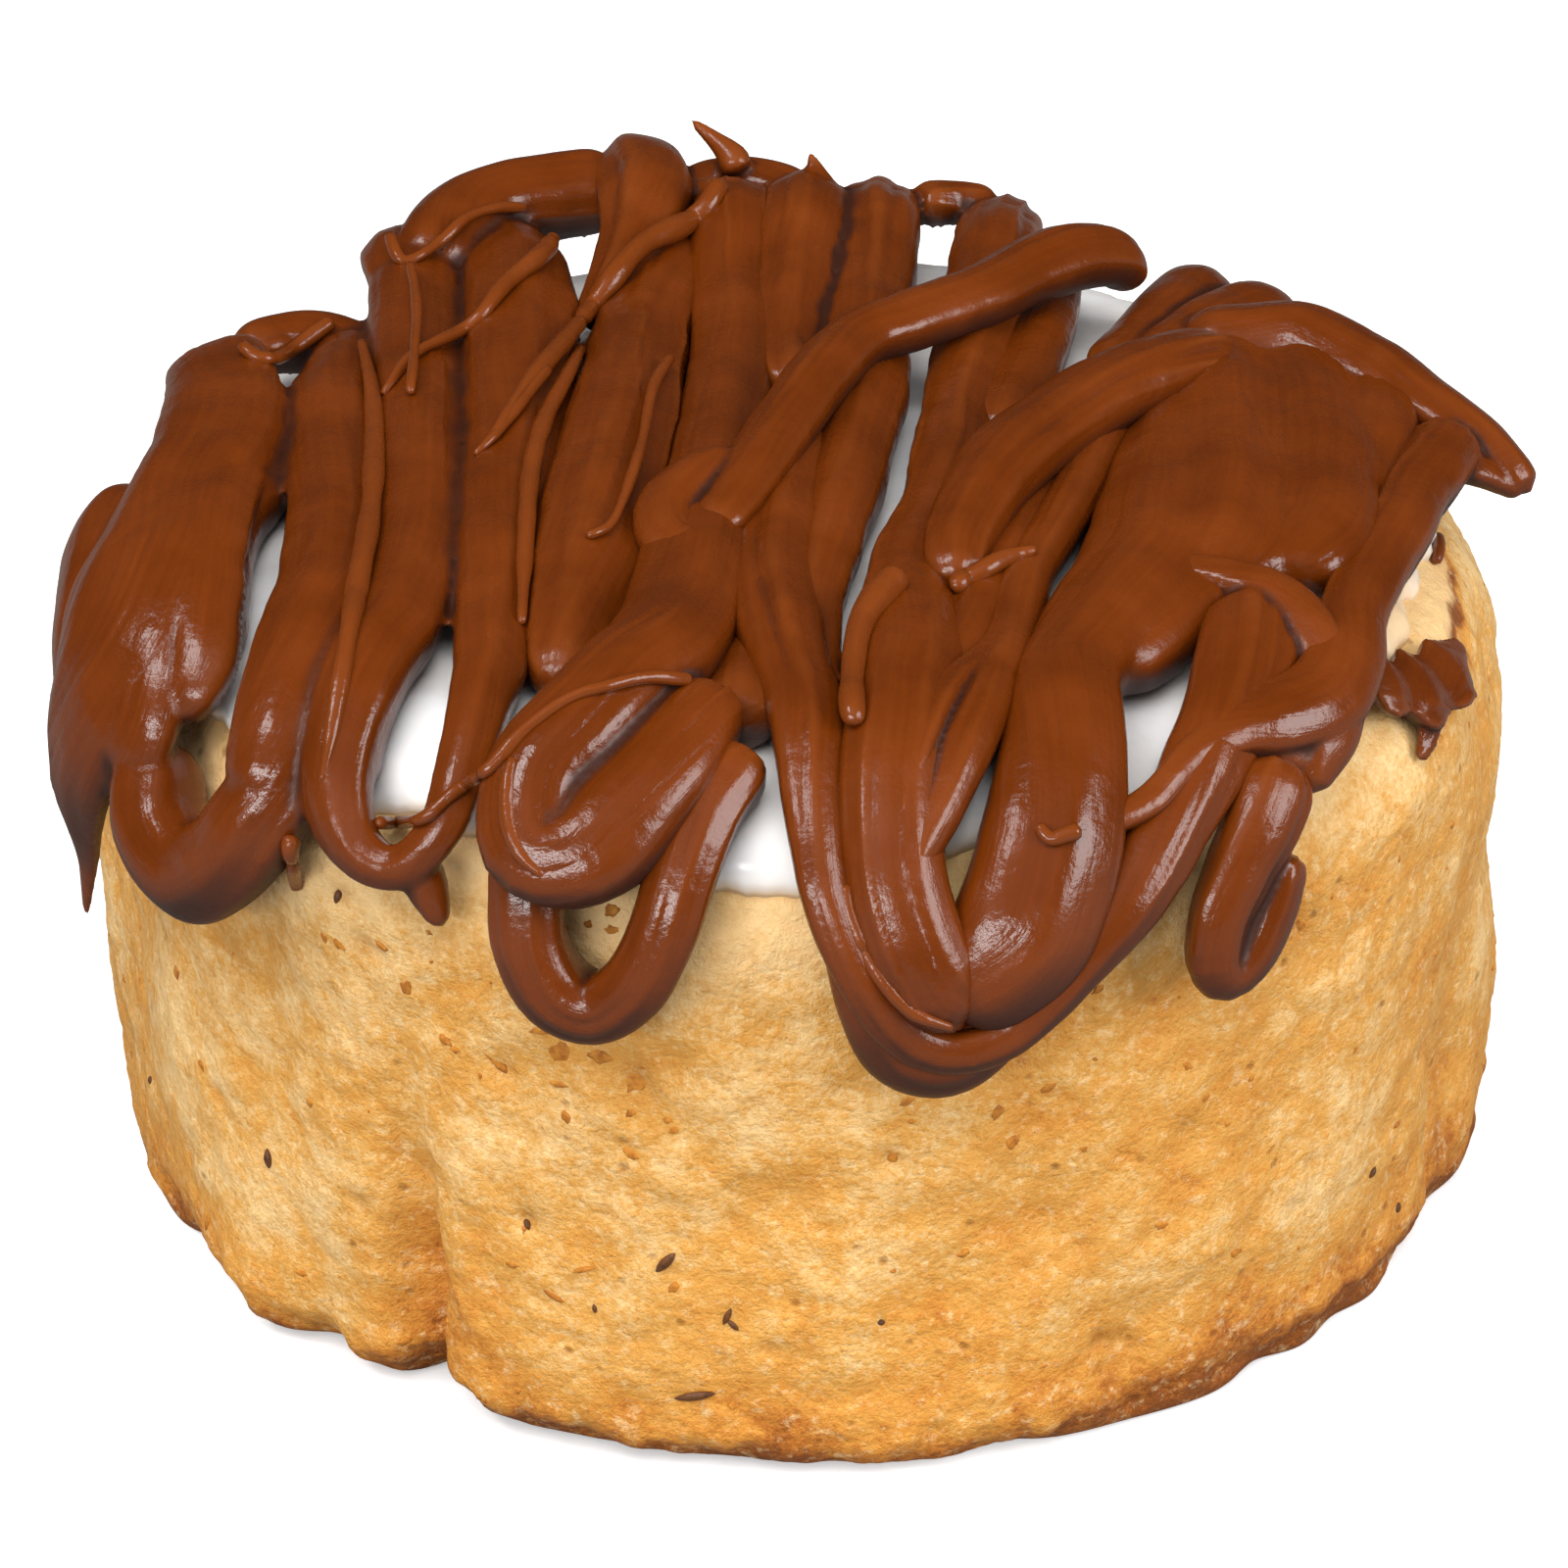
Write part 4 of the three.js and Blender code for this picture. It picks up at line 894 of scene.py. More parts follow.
def sharpen(piece, strength, painted_shading):
    """Deepens the creases, raises fine ridges along the ropes and paints the relief that the material turns
    into painted light on the ridges and painted shade in the creases, between the ropes and under them.
    """
    flow = np.empty(3 * len(piece.data.vertices))
    piece.data.attributes["flow"].data.foreach_get("vector", flow)
    flow = flow.reshape(-1, 3)
    points = points_of(piece)
    out = normals_of(piece)
    height = np.einsum("ij,ij->i", points - evened(piece, points, 16), out)
    step = np.where(height > 0, 0.1, strength) * height
    here = smooth_step(0.1, 0.45, noise(flow * (1, 0.2, 40), 8, 51))
    raised = drawn_lines(flow, 5, 0.08, 52) * here
    cut = drawn_lines(flow, 4, 0.06, 53) * (1 - here)
    step = np.clip(step, -0.5, 0.1) + 0.24 * raised - 0.08 * cut + 0.05 * noise(points, 3, 54) - 0.05
    points = points + out * step[:, None]
    put_points(piece, points)
    # The relief paints ridges lighter as painted light, and creases, broad valleys between the ropes and
    # faces that look down darker as painted shade
    height = np.einsum("ij,ij->i", points - evened(piece, points, 12), out)
    height = evened(piece, height[:, None], 3)[:, 0]
    valley_shade = np.einsum("ij,ij->i", points - evened(piece, points, 45), out)
    underside_shade = smooth_step(0.4, -0.5, out[:, 2])
    relief = (height / 0.3 + np.clip(valley_shade / 0.9, -0.8, 0)) * painted_shading - 0.65 * underside_shade
    paint(piece, "relief", np.clip(relief, -1, 1))


def gathered(tubes):
    """The points, faces and flow of many tubes in one."""
    points, faces, flow, start = [], [], [], 0
    for one_points, one_faces, one_flow in tubes:
        faces += [tuple(start + i for i in face) for face in one_faces]
        points.append(one_points)
        flow.append(one_flow)
        start += len(one_points)
    return np.concatenate(points), faces, np.concatenate(flow)


def ropes_of(group):
    """The tubes of one group, each with its seed in its flow."""
    ropes = [(k, rope[2:]) for k, rope in enumerate(ROPES) if rope[1] == group]
    if group == "middle":
        ropes += [(SPIKE_SEED + k, (1.0, 1, path)) for k, path in enumerate(SPIKES)]
    for seed, (flat, ridges, path) in ropes:
        points, faces, flow = rope_tube(flat, ridges, path, seed)
        flow[:, 1] += FLOW_STEP * seed
        flow[:, 2] = seed
        yield points, faces, flow


def chocolate_piece(group, voxel, rounds, strength, painted_shading, material):
    """All ropes of one group, joined into one smooth body."""
    points, faces, flow = gathered(ropes_of(group))
    piece = mesh_piece("chocolate_" + group, points, faces)
    finish_with(piece, "REMESH", mode="VOXEL", voxel_size=voxel * MM, adaptivity=0.0)
    finish_with(piece, "SMOOTH", factor=0.5, iterations=rounds)
    carry_flow(piece, points, faces, flow)
    sharpen(piece, strength, painted_shading)
    settle(piece, material, "chocolate", "chocolate")
    return piece


# Materials


def linear(colour):
    """A colour of three parts from 0 to 255, as a screen shows it, in the numbers that a shader takes."""
    part = np.array(colour, float) / 255
    return tuple(np.where(part < 0.04045, part / 12.92, ((part + 0.055) / 1.055) ** 2.4)) + (1.0,)


class Look:
    """The shader of a material or of the world, and the short calls that build it."""

    def __init__(self, owner):
        owner.use_nodes = True
        self.owner = owner
        self.nodes = owner.node_tree.nodes
        self.links = owner.node_tree.links

    def feed(self, node, inputs):
        """Links outputs to a node's sockets, or gives the sockets values of their own."""
        for name, value in inputs.items():
            if isinstance(value, bpy.types.NodeSocket):
                self.links.new(value, node.inputs[name])
            else:
                node.inputs[name].default_value = value

    def node(self, kind, output, inputs, **settings):
        """One output of a new node."""
        node = self.nodes.new(kind)
        for name, value in settings.items():
            setattr(node, name, value)
        self.feed(node, inputs)
        return node.outputs[output]

    def place(self):
        return self.node("ShaderNodeTexCoord", "Object", {})

    def painted(self, name, output="Fac"):
        return self.node("ShaderNodeAttribute", output, {}, attribute_name=name)

    def ray(self, kind):
        return self.node("ShaderNodeLightPath", kind, {})

    def noise(self, vector, pattern):
        scale, detail, rough = pattern
        inputs = {"Vector": vector, "Scale": scale, "Detail": detail, "Roughness": rough}
        return self.node("ShaderNodeTexNoise", "Fac", inputs)

    def math(self, kind, first, second):
        return self.node("ShaderNodeMath", 0, {0: first, 1: second}, operation=kind)

    def mix(self, share, first, second):
        return self.node("ShaderNodeMix", 2, {0: share, 6: first, 7: second}, data_type="RGBA")

    def blend(self, share, first, second):
        """The same for two plain numbers."""
        return self.node("ShaderNodeMix", "Result", {"Factor": share, "A": first, "B": second})

    def ramp(self, share, *stops):
        """Colours at places from 0 to 1, where a plain number is a grey."""
        node = self.nodes.new("ShaderNodeValToRGB")
        elements = node.color_ramp.elements
        while len(elements) < len(stops):
            elements.new(0.5)
        for element, (place, colour) in zip(elements, stops):
            element.position = place
            element.color = colour if isinstance(colour, tuple) else (colour,) * 3 + (1,)
        self.feed(node, {"Fac": share})
        return node.outputs["Color"]

    def bump(self, height, distance, strength, **before):
        """A bumped normal, on top of the one given as Normal."""
        inputs = {"Height": height, "Distance": distance, "Strength": strength, **before}
        return self.node("ShaderNodeBump", "Normal", inputs)

    def finish(self, **inputs):
        """Feeds the shader's sockets, named with underscores for spaces, and gives back the material."""
        self.feed(self.nodes["Principled BSDF"], {name.replace("_", " "): v for name, v in inputs.items()})
        return self.owner


def new_look(name):
    return Look(bpy.data.materials.new(name))


def crust_material(colours):
    look = new_look("baked crust")
    place = look.place()
    mottle = look.noise(place, CRUST_MOTTLE)
    speck = look.noise(place, CRUST_SPECK)
    shift = look.math("MULTIPLY", look.math("SUBTRACT", mottle, 0.5), 0.9)
    fleck = look.math("MULTIPLY", look.math("SUBTRACT", speck, 0.5), 0.8)
    # The painted browning with its painted shade and light, shifted by the mottle and the specks
    baked = look.math("ADD", look.math("ADD", look.painted("browning_and_shade"), shift), fleck)
    tone = look.ramp(
        baked,
        (0.0, linear(colours.crust_pale)),
        (0.3, linear(colours.crust)),
        (0.55, linear(colours.crust_gold)),
        (0.8, linear(colours.crust_brown)),
        (1.0, linear(colours.foot)),
    )
    tone = look.mix(look.painted("glaze"), tone, linear(colours.glaze))
    dry = look.ramp(look.noise(place, CRUST_DRY), (0.54, 0), (0.68, 0.5))
    tone = look.mix(dry, tone, linear(colours.fleck))
    # Pores: small pits with painted shade inside, from these cells and from the painted pits
    apart = look.node("ShaderNodeTexVoronoi", "Distance", {"Vector": place, "Scale": PORE_SCALE})
    chance = look.node("ShaderNodeSeparateColor", "Red", {"Color": apart.node.outputs["Color"]})
    chosen = look.math("LESS_THAN", chance, PORE_SHARE)
    hole = look.math("MULTIPLY", chosen, look.ramp(apart, (0.08, 1), (0.24, 0)))
    deep = look.math("MAXIMUM", look.math("MULTIPLY", hole, 0.55), look.painted("pit_shade"))
    normal = look.bump(mottle, 0.0015, 0.5)
    normal = look.bump(speck, 0.0004, 0.6, Normal=normal)
    return look.finish(
        Base_Color=look.mix(deep, tone, linear(colours.pore_shade)),
        Roughness=look.ramp(mottle, (0.3, 0.4), (0.7, 0.62)),
        Normal=look.bump(look.math("SUBTRACT", 1.0, hole), 0.0002, 0.6, Normal=normal),
        Specular_IOR_Level=0.4,
        Subsurface_Weight=0.1,
        Subsurface_Radius=(1.0, 0.55, 0.2),
        Subsurface_Scale=0.001,
    )


def icing_material(colours):
    look = new_look("white icing")
    place = look.place()
    cloud = look.noise(place, ICING_CLOUD)
    tone = look.ramp(cloud, (0.35, linear(colours.icing)), (0.75, linear(ICING_SHADE)))
    return look.finish(
        Base_Color=look.mix(look.painted("thin"), tone, linear(colours.glaze)),
        Roughness=0.22,
        Normal=look.bump(look.noise(place, ICING_FINE), 0.0004, 0.25),
        Subsurface_Weight=0.3,
        Subsurface_Radius=(1.0, 0.9, 0.8),
        Subsurface_Scale=0.001,
    )


def chocolate_material(colours):
    look = new_look("chocolate cream")
    place = look.place()
    drawn = {"Vector": look.painted("flow", "Vector"), "Scale": (1.5, 0.06, 7.0)}
    streak = look.noise(look.node("ShaderNodeMapping", "Vector", drawn), CREAM_STREAK)
    cloud = look.noise(place, CREAM_CLOUD)
    both = look.math("ADD", look.math("MULTIPLY", streak, 0.3), look.math("MULTIPLY", cloud, 0.7))
    tone = look.ramp(both, (0.38, linear(colours.chocolate)), (0.68, linear(colours.chocolate_light)))
    relief = look.painted("relief")
    # Painted light: ridges lighter and warmer, standing in for rim light and light shining through the thin
    # edges
    tone = look.mix(look.ramp(relief, (0.1, 0), (0.8, 0.8)), tone, linear(colours.ridge))
    # Painted shade: creases, valleys between the ropes and undersides darken, and are also rougher
    chocolate_shade = look.ramp(look.math("MULTIPLY", relief, -1.0), (0.06, 0), (0.6, 0.9))
    rough = look.ramp(cloud, (0.35, 0.17), (0.7, 0.3))
    normal = look.bump(streak, 0.0003, 0.16)
    return look.finish(
        Base_Color=look.mix(chocolate_shade, tone, linear(colours.chocolate_shade)),
        Roughness=look.math("ADD", rough, look.math("MULTIPLY", chocolate_shade, 0.4)),
        Normal=look.bump(look.noise(place, CREAM_RIPPLE), 0.0003, 0.32, Normal=normal),
        Specular_IOR_Level=0.5,
        Subsurface_Weight=0.08,
        Subsurface_Radius=(1.0, 0.4, 0.15),
        Subsurface_Scale=0.0012,
    )


def grain_material(name, dark, light, rough):
    look = new_look(name)
    husk = look.noise(look.place(), HUSK)
    return look.finish(
        Base_Color=look.ramp(husk, (0.3, linear(dark)), (0.75, linear(light))),
        Roughness=rough,
    )


# Settings, operators and panel


def length(name, description, default):
    return bpy.props.FloatProperty(
        name=name, description=description, default=default * MM, unit="LENGTH", precision=5
    )


def colour(name, description, default):
    return bpy.props.FloatVectorProperty(name=name, description=description, default=default, min=0, max=255)


class RollSizes(bpy.types.PropertyGroup):
    voxel: length("Joining grain", "How finely the joined ropes of chocolate are cut", 0.3)
    relief: bpy.props.FloatProperty(name="Crust relief", description="How deep its wrinkles are", default=1.0)
    icing: length("Icing thickness", "How thick the icing is in the middle", ICING_THICK)
    floor: length("Floor radius", "How far the pale floor reaches", 4000.0)


class RollColours(bpy.types.PropertyGroup):
    crust_pale: colour("Pale crust", "The palest flecks of the side", (236, 197, 135))
    fleck: colour("Dry flecks", "The driest flecks of the side", (247, 218, 164))
    crust: colour("Crust", "The pale gold of the side", (217, 158, 74))
    crust_gold: colour("Golden crust", "The deeper gold between", (210, 141, 54))
    crust_brown: colour("Brown crust", "The well-baked patches", (180, 107, 33))
    foot: colour("Foot", "The brown of the foot", (138, 74, 18))
    # Painted shade inside the pores
    pore_shade: colour("Pores", "The inside of the pores", (136, 78, 20))
    glaze: colour("Glaze", "The cream-coloured film beside the icing", (247, 206, 146))
    icing: colour("Icing", "The white of the icing", (247, 245, 245))
    chocolate: colour("Chocolate", "The brown of the ropes", (89, 37, 4))
    chocolate_light: colour("Lighter chocolate", "The lighter streaks of the ropes", (108, 47, 6))
    # Painted light: the lighter, warmer colour of the ridges, standing in for rim light and light through
    # thin edges
    ridge: colour("Chocolate ridges", "The thin raised edges of the ropes", (130, 66, 24))
    # Painted shade of the creases, of the valleys between the ropes and of their undersides
    chocolate_shade: colour("Chocolate creases", "The creases between the ropes", (46, 17, 5))


class SWEETROLL_OT_bun(bpy.types.Operator):
    """Makes the bread bun with its crust"""

    bl_idname = "sweet_roll.bun"
    bl_label = "Bread Bun"

    def shape(self, turn, ring):
        """The plain form at an azimuth and a place down the sphere's rings."""
        top, over, side, foot = BUN_ENDS
        edge, flat = rim(turn)
        wall_top = skin(turn, flat + edge * math.pi / 2, 0.0, False)[:, 2]
        far = flat * np.clip(ring / top, 0, 1)
        far += edge * math.pi / 2 * np.clip((ring - top) / (over - top), 0, 1)
        far += (wall_top - FOOT_RADIUS) * np.clip((ring - over) / (side - over), 0, 1)
        points = skin(turn, far)
        angle = np.clip((ring - side) / (foot - side), 0, 1) * math.pi / 2
        r = np.hypot(points[:, 0], points[:, 1])
        r = r - foot_tuck(turn) * (1 - np.cos(angle)) - scallop(turn) * np.sin(angle)
        r = r * np.clip((BUN_RINGS - ring) / (BUN_RINGS - foot), 0, 1)
        low = ring > side
        lower = np.stack([r * np.cos(turn), r * np.sin(turn), FOOT_RADIUS * (1 - np.sin(angle))], 1)
        points[low] = lower[low]
        return points, far

    def execute(self, context):
        piece, ball = sphere("crust", BUN_SEGMENTS, BUN_RINGS, BALL_RADIUS)
        turn, fall = turn_and_fall(ball)
        plain, far = self.shape(turn, fall * BUN_RINGS)
        put_points(piece, plain)
        out = normals_of(piece)
        z = plain[:, 2]
        free = smooth_step(0.0, 2.5, z)
        under_icing = smooth_step(1.0, 4.0, icing_reach(turn) - far)
        hills = layers(plain, CRUST_HILLS)
        grain = layers(plain, CRUST_GRAIN)
        crease = np.clip(1 - np.abs(noise(plain * (1, 1, 1.35), 10, 6)) / 0.1, 0, 1) ** 1.5
        crease += 0.6 * np.clip(1 - np.abs(noise(plain, 5.5, 7)) / 0.1, 0, 1) ** 1.5
        rag = smooth_step(7.0, 1.0, z) * layers(plain, FOOT_RAGS)
        relief = hills + grain - 0.17 * crease * smooth_step(56, 48, z) + rag * free
        deep, dark = self.pores(plain, turn)
        relief = relief * context.scene.sweet_roll_sizes.relief * (1 - 0.6 * under_icing) - deep
        put_points(piece, plain + out * (relief * free)[:, None] + AXIS)
        # The hills, grain and creases also paint shade into the crust's hollows and creases
        causes = {"ground": 1, "hills": hills, "grain": grain, "crease": crease}
        self.paint_crust(piece, plain, turn, far, causes)
        # Painted shade inside the pores
        paint(piece, "pit_shade", np.clip(dark * 0.35, 0, 0.5))
        settle(piece, crust_material(context.scene.sweet_roll_colours), "crust", "bun")
        return {"FINISHED"}

    def pores(self, plain, turn):
        """The depth of all pores, and how strongly painted shade darkens them."""
        rng = np.random.default_rng(21)
        every = list(PORES)
        for _ in range(LOOSE_PORES):
            size = rng.uniform(0.35, 0.75)
            every.append((rng.uniform(-180, 180), rng.uniform(4, 47), size, size * rng.uniform(0.35, 0.7)))
        deep = np.zeros(len(plain))
        dark = np.zeros(len(plain))
        for at, height, size, depth in every:
            across = degrees_between(turn, at) * math.pi / 180 * WALL_RADIUS
            spot = bell(np.hypot(across, plain[:, 2] - height) / size) * (np.abs(plain[:, 2] - height) < 8)
            deep += depth * spot
            dark = np.maximum(dark, spot * min(1, depth * 1.6))
        return deep, dark

    def paint_crust(self, piece, plain, turn, far, causes):
        """Paints the crust's browning together with its painted shade and painted light, and the film of
        glaze on the crust beside the ropes.
        """
        z = plain[:, 2]
        azimuth = np.degrees(turn)
        joint = SEAM_FAR - 0.22 * (azimuth + 9.9) + 1.7 * noise(plain, 4, 35)
        causes["cloud"] = noise(plain, 15, 33)
        # painted shade: darker low down
        causes["low"] = smooth_step(15, 0, z + 3 * noise(plain, 9, 31))
        # the foot's own browning
        causes["foot"] = smooth_step(5.0, 0.8, z + 1.6 * noise(plain, 4, 32))
        # painted shade on the front right, in the cleft and in the fold
        causes["right"] = around(turn, RIGHT_SHADE_AT, 26) * smooth_step(50, 40, z)
        causes["cleft"] = around(turn, CLEFT_AT, 3) * smooth_step(26, 2, z)
        causes["fold"] = around(turn, FOLD_AT, 3) * bell((z - 12) / 12)
        causes["seam"] = bell((far - joint) / 1.9) * around(turn, SEAM_AT, 11)
        causes["seam"] *= 1 + 0.7 * noise(plain, 3, 36)
        # painted light: paler near the top
        causes["top"] = smooth_step(40, 50, z)
        browning_and_shade = sum(share * causes[name] for name, share in BROWNING_AND_SHADE.items())
        paint(piece, "browning_and_shade", np.clip(browning_and_shade, 0, 1))
        beyond = far - icing_reach(turn)
        front = smooth_step(-30, -60, azimuth) * smooth_step(-175, -150, azimuth)
        film = bell((beyond - 1.5) / 4.5) * smooth_step(-0.5, 0.4, noise(plain, 7, 34) + 0.2) * front
        torn = smooth_step(0, 1.6, joint - far) * around(turn, SEAM_AT, 13)
        left = around(turn, LEFT_FILM_AT, 8) * bell((far - 56) / 4)
        paint(piece, "glaze", np.clip(0.75 * film + 0.9 * torn + 0.7 * left, 0, 0.85))


class SWEETROLL_OT_icing(bpy.types.Operator):
    """Makes the cap of white icing"""

    bl_idname = "sweet_roll.icing"
    bl_label = "White Icing"

    def execute(self, context):
        piece, ball = sphere("icing_cap", ICING_SEGMENTS, ICING_RINGS, BALL_RADIUS)
        turn, fall = turn_and_fall(ball)
        circle = np.stack([np.cos(turn), np.sin(turn), np.zeros_like(turn)], 1) * BALL_RADIUS
        reach = layers(circle, ICING_RAGS, icing_reach(turn))
        share = fall * 2
        upper = share <= 1
        run = 1 - (1 - np.where(upper, share, 2 - share)) ** 1.25
        left = reach * (1 - run)
        lip = np.where(left < ICING_LIP, np.sqrt(np.clip(1 - (1 - left / ICING_LIP) ** 2, 0, 1)), 1)
        flat = laid(reach * run * np.cos(turn), reach * run * np.sin(turn), 0)
        thick = context.scene.sweet_roll_sizes.icing / MM * layers(flat, ICING_WAVES, 1)
        lift = np.where(upper, thick * lip - 0.15 * (1 - lip), -0.9 * lip - 0.15)
        put_points(piece, skin(turn, reach * run, lift) + AXIS)
        thin = np.clip(1 - left / 0.9, 0, 1) * 0.55
        thin = np.maximum(thin, 0.8 * around(turn, THIN_ICING_AT, 12) * smooth_step(7, 3, left))
        paint(piece, "thin", np.where(upper, thin, 1.0))
        settle(piece, icing_material(context.scene.sweet_roll_colours), "icing", "icing")
        return {"FINISHED"}


class SWEETROLL_OT_chocolate(bpy.types.Operator):
    """Makes the ropes of chocolate, each group joined into one body"""

    bl_idname = "sweet_roll.chocolate"
    bl_label = "Chocolate Ropes"

    def execute(self, context):
        material = chocolate_material(context.scene.sweet_roll_colours)
        for group, (finer, *rest) in GROUPS.items():
            voxel = context.scene.sweet_roll_sizes.voxel / MM * finer
            chocolate_piece(group, voxel, *rest, material)
        return {"FINISHED"}


class SWEETROLL_OT_strands(bpy.types.Operator):
    """Lays fine threads and drips of chocolate on the roll"""

    bl_idname = "sweet_roll.strands"
    bl_label = "Fine Strands"

    def strands(self, tree):
        """One tube for each line of pixels, held to the nearest thing along it, with its seed in its flow."""
        eye = camera_place()[0]
        window = np.arange(-3, 4)
        weights = np.exp(-((window / 2.0) ** 2))
        weights /= weights.sum()
        for k, (_, first, last, stand, pixels) in enumerate(STRAND_PIXELS):
            track = spline(np.array([(x, y, 0, 0) for x, y in pixels]), STRAND_STEP)[:, :2]
            seen = [one for one in (seen_at(tree, pixel) for pixel in track) if one is not None]
            spots, ups = (np.array(rows) for rows in zip(*seen))
            rays = spots - eye
            depth = np.linalg.norm(rays, axis=1)
            rays /= depth[:, None]
            count = len(depth)
            beside = np.clip(np.arange(count)[:, None] + window, 0, count - 1)
            nearest = depth[beside].min(1)
            smooth = nearest[beside] @ weights
            line = np.stack([np.arange(count) * 0.5, np.full(count, 9.0 * k), np.zeros(count)], 1)
            radius = np.linspace(first, last, count) * (1 + 0.25 * noise(line, 4, 61))
            if stand < 0:
                radius *= 0.35 + 0.65 * np.sin(np.linspace(0, math.pi, count)) ** 0.6
            centres = eye + rays * (smooth - radius * stand)[:, None]
            points, faces, flow = tube(centres, ups + (0, -0.2, 0.4), radius, radius, radius, STRAND_SIDES)
            flow[:, 2] = STRAND_SEED + k
            yield points, faces, flow

    def execute(self, context):
        under = ["chocolate_" + group for group in GROUPS] + ["crust", "icing_cap"]
        points, faces, flow = gathered(self.strands(tree_of(*(bpy.data.objects[name] for name in under))))
        piece = mesh_piece("chocolate_strands", points, faces)
        finish_with(piece, "SMOOTH", factor=0.5, iterations=2)
        paint(piece, "flow", flow)
        # A constant relief that tints the strands towards the lighter ridge colour, as painted light
        paint(piece, "relief", np.full(len(flow), 0.35))
        settle(piece, bpy.data.materials["chocolate cream"], "chocolate")
        return {"FINISHED"}


def pressed_in(name, placed, rise):
    """Small flattened grains on the crust: place, normal, direction, length, width and thickness in mm."""
    grains = []
    for k, (spot, normal, ahead, long, wide, thick) in enumerate(placed):
        ahead = ahead - normal * (ahead @ normal)
        ahead /= np.linalg.norm(ahead)
        side = np.cross(normal, ahead)
        grain, ball = sphere(name, 16, 8, 1)
        taper = 1 - 0.35 * ball[:, 0] ** 2
        shaped = ball[:, :1] * long / 2 * ahead + (ball[:, 1] * taper * wide / 2)[:, None] * side
        if rise == 0:
            shaped *= 1 + 0.5 * noise(ball * (1, 1, 0) + (0, 0, 7 * k), 0.7, 71)[:, None]
        put_points(grain, shaped + (ball[:, 2] * taper * thick / 2)[:, None] * normal + spot + normal * rise)
        grains.append(grain)
    return join(grains, name)


class SWEETROLL_OT_seeds(bpy.types.Operator):
    """Presses dark seeds and brown flecks into the crust"""

    bl_idname = "sweet_roll.seeds"
    bl_label = "Seeds and Flecks"

    def seen_grains(self, tree, rows):
        """Place, normal, direction, length and width of the grains that the photograph shows."""
        _, right, up, _ = camera_place()
        for pixel, long, wide, slope in rows:
            ahead = right * math.cos(math.radians(slope)) + up * math.sin(math.radians(slope))
            yield *seen_at(tree, pixel), ahead, long, wide

    def loose_flecks(self, tree):
        rng = np.random.default_rng(22)
        for _ in range(LOOSE_FLECKS):
            turn = rng.uniform(-math.pi, math.pi)
            outward = np.array([math.cos(turn), math.sin(turn), 0])
            start = AXIS + outward * 90 + (0, 0, rng.uniform(3, 46))
            hit, normal, _, _ = tree.ray_cast(Vector(start * MM), Vector(-outward))
            size = 0.25 + 0.6 * rng.uniform() ** 2
            ahead = rng.normal(size=3)
            yield np.array(hit) / MM, np.array(normal), ahead, size * rng.uniform(1, 2), size, 0.24

    def execute(self, context):
        tree = tree_of(bpy.data.objects["crust"])
        seeds = [(*row, row[-1] * 0.8) for row in self.seen_grains(tree, SEED_PIXELS)]
        seen = self.seen_grains(tree, FLECK_PIXELS)
        flecks = [(*row, long * 0.75, wide * 0.7, 0.3) for *row, long, wide in seen]
        flecks += self.loose_flecks(tree)
        seeds = pressed_in("crust_seeds", seeds, 0.05)
        settle(seeds, grain_material("dark seed", *SEED_COLOURS, 0.5), "crust")
        flecks = pressed_in("crust_flecks", flecks, 0)
        settle(flecks, grain_material("brown fleck", *FLECK_COLOURS, 0.75), "crust")
        return {"FINISHED"}


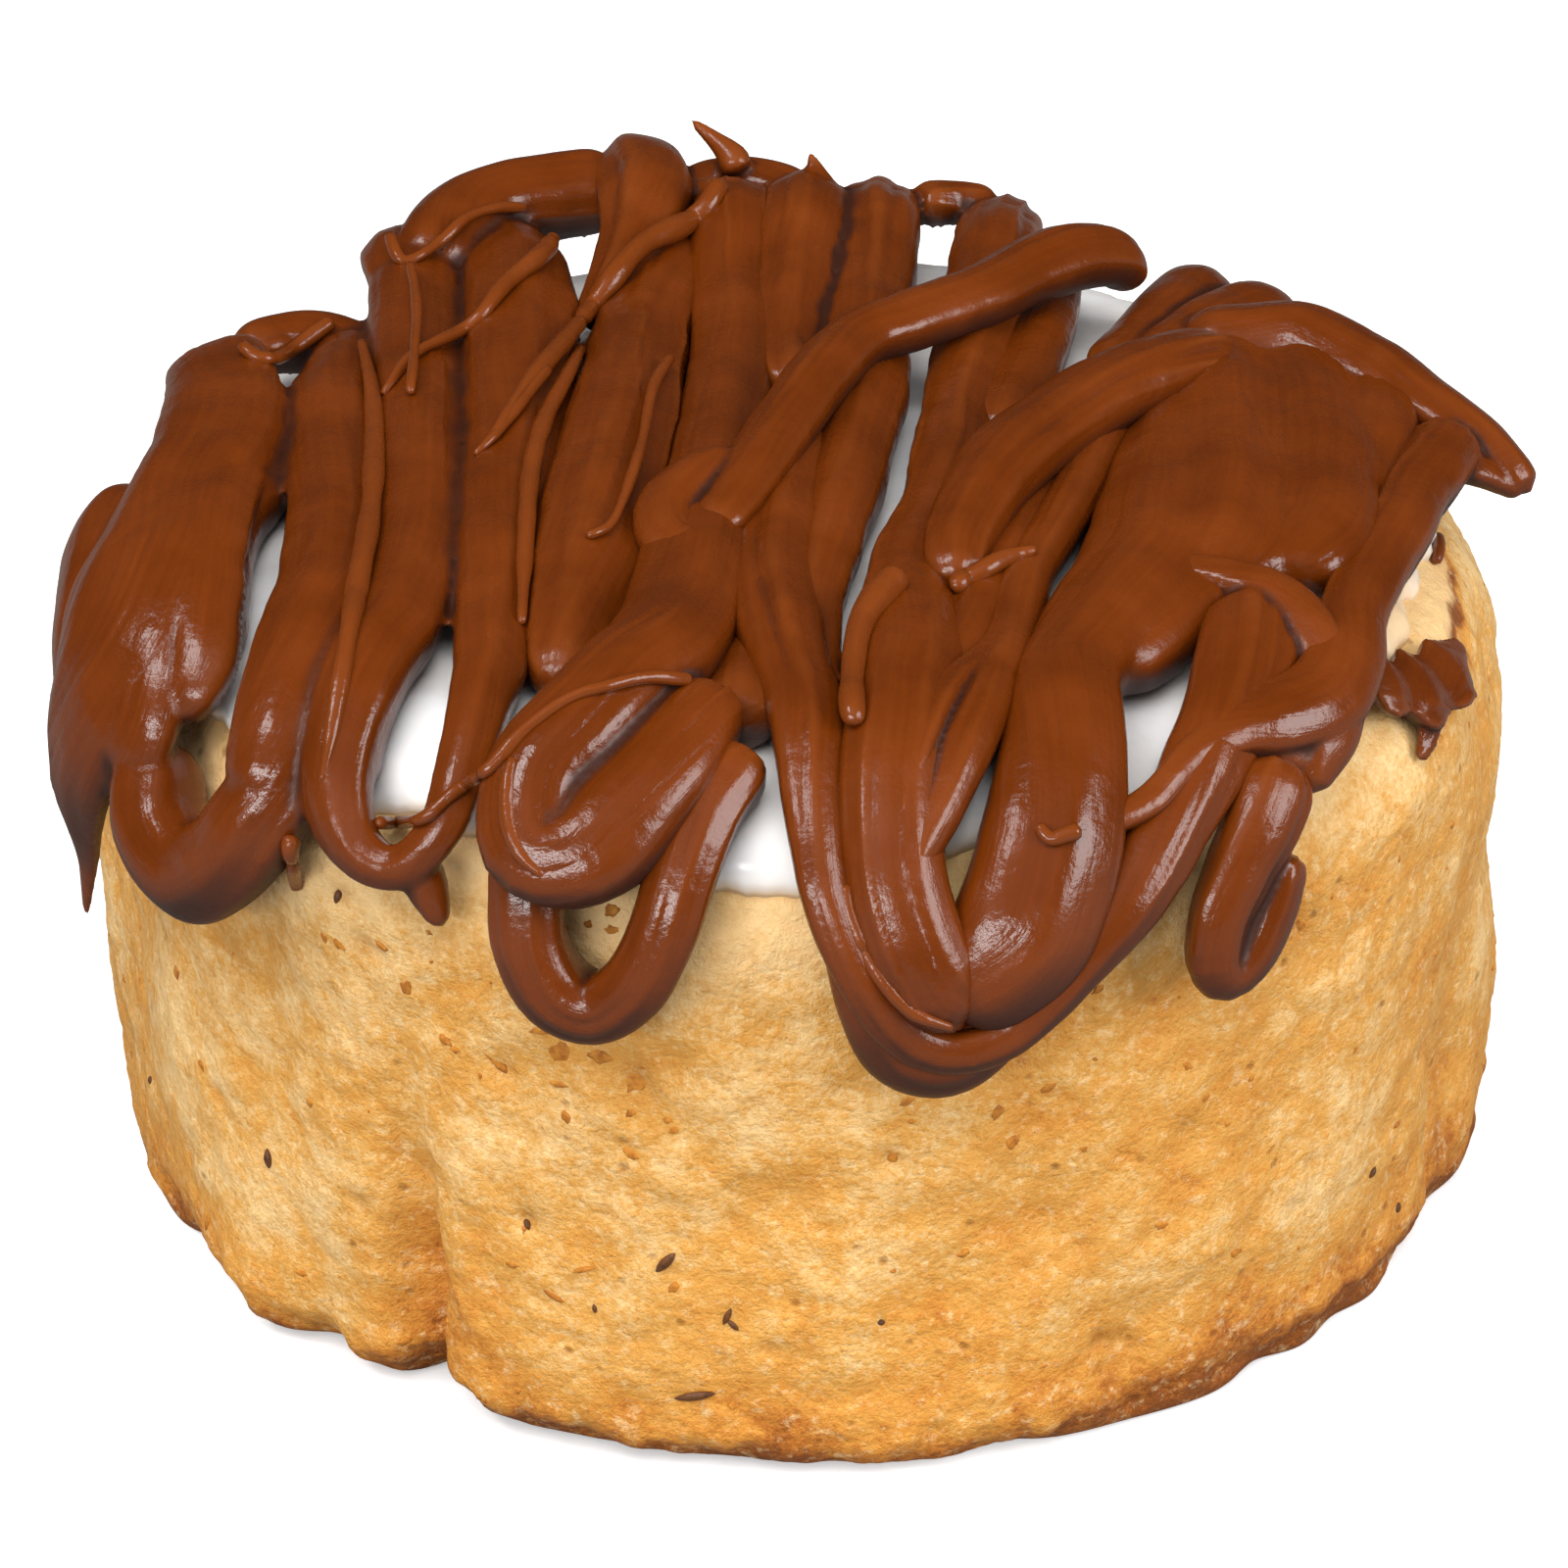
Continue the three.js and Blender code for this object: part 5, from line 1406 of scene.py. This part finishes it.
class SWEETROLL_OT_stage(bpy.types.Operator):
    """Sets up the pale floor, the soft lights and the camera"""

    bl_idname = "sweet_roll.stage"
    bl_label = "Stage"

    def lamp(self, name, azimuth, slope, distance, size, power, shiny):
        data = bpy.data.lights.new(name, "AREA")
        data.shape = "RECTANGLE"
        data.size, data.size_y = size
        data.energy = power
        lamp = bpy.data.objects.new(name, data)
        lamp.visible_glossy = shiny
        a, e = math.radians(azimuth), math.radians(slope)
        back = Vector((math.sin(a) * math.cos(e), -math.cos(a) * math.cos(e), math.sin(e)))
        lamp.location = Vector((0, 0, 0.03)) + back * distance
        lamp.rotation_euler = (-back).to_track_quat("-Z", "Y").to_euler()
        bpy.context.scene.collection.objects.link(lamp)

    def floor(self, radius):
        bpy.ops.object.select_all(action="DESELECT")
        bpy.ops.mesh.primitive_circle_add(
            vertices=96, radius=radius, fill_type="NGON", location=(0, 0, -0.0001)
        )
        floor = bpy.context.object
        floor.name = "floor"
        look = new_look("pale floor")
        seen = look.ray("Is Camera Ray")
        floor.data.materials.append(look.finish(
            Base_Color=look.mix(seen, (0.2, 0.19, 0.18, 1), (0.92, 0.92, 0.92, 1)),
            Emission_Color=WHITE,
            Emission_Strength=look.math("MULTIPLY", seen, FLOOR_GLOW),
            Roughness=0.9,
            Specular_IOR_Level=0.1,
        ))
        return floor

    def execute(self, context):
        scene = context.scene
        floor = self.floor(scene.sweet_roll_sizes.floor)
        for lamp in LAMPS:
            self.lamp(*lamp)
        scene.world = bpy.data.worlds.new("studio")
        sky = Look(scene.world)
        soft = sky.blend(sky.ray("Is Glossy Ray"), SKY_FILL, SKY_SHINE)
        bright = sky.blend(sky.ray("Is Camera Ray"), soft, 1.0)
        sky.feed(sky.nodes["Background"], {"Color": WHITE, "Strength": bright})
        scene.view_settings.view_transform = "Standard"
        eye, _, _, ahead = camera_place()
        camera = bpy.data.objects.new("camera", bpy.data.cameras.new("camera"))
        camera.data.sensor_width = SENSOR
        camera.data.lens = SENSOR * LENS_PIXELS / PHOTO_SIZE
        camera.data.clip_start = 0.01
        camera.data.clip_end = 20
        camera.location = Vector(eye * MM)
        camera.rotation_euler = Vector(ahead).to_track_quat("-Z", "Y").to_euler()
        scene.collection.objects.link(camera)
        scene.camera = camera
        return {"FINISHED"}


class SWEETROLL_PT_panel(bpy.types.Panel):
    """Lists the roll's sizes, colours and steps"""

    bl_label = "Sweet Roll"
    bl_idname = "SWEETROLL_PT_panel"
    bl_space_type = "VIEW_3D"
    bl_region_type = "UI"
    bl_category = "Sweet Roll"

    def draw(self, context):
        for group in (context.scene.sweet_roll_sizes, context.scene.sweet_roll_colours):
            for name in group.__annotations__:
                self.layout.prop(group, name)
        for step in STEPS:
            self.layout.operator(step.bl_idname)


STEPS = (
    SWEETROLL_OT_stage,
    SWEETROLL_OT_bun,
    SWEETROLL_OT_icing,
    SWEETROLL_OT_chocolate,
    SWEETROLL_OT_strands,
    SWEETROLL_OT_seeds,
)
CLASSES = (RollSizes, RollColours, *STEPS, SWEETROLL_PT_panel)


def register():
    for cls in CLASSES:
        bpy.utils.register_class(cls)
    bpy.types.Scene.sweet_roll_sizes = bpy.props.PointerProperty(type=RollSizes)
    bpy.types.Scene.sweet_roll_colours = bpy.props.PointerProperty(type=RollColours)


def unregister():
    del bpy.types.Scene.sweet_roll_colours
    del bpy.types.Scene.sweet_roll_sizes
    for cls in reversed(CLASSES):
        bpy.utils.unregister_class(cls)


def main():
    register()
    bpy.ops.sweet_roll.stage()
    bpy.ops.sweet_roll.bun()
    bpy.ops.sweet_roll.icing()
    bpy.ops.sweet_roll.chocolate()
    bpy.ops.sweet_roll.strands()
    bpy.ops.sweet_roll.seeds()


if __name__ == "__main__":
    main()
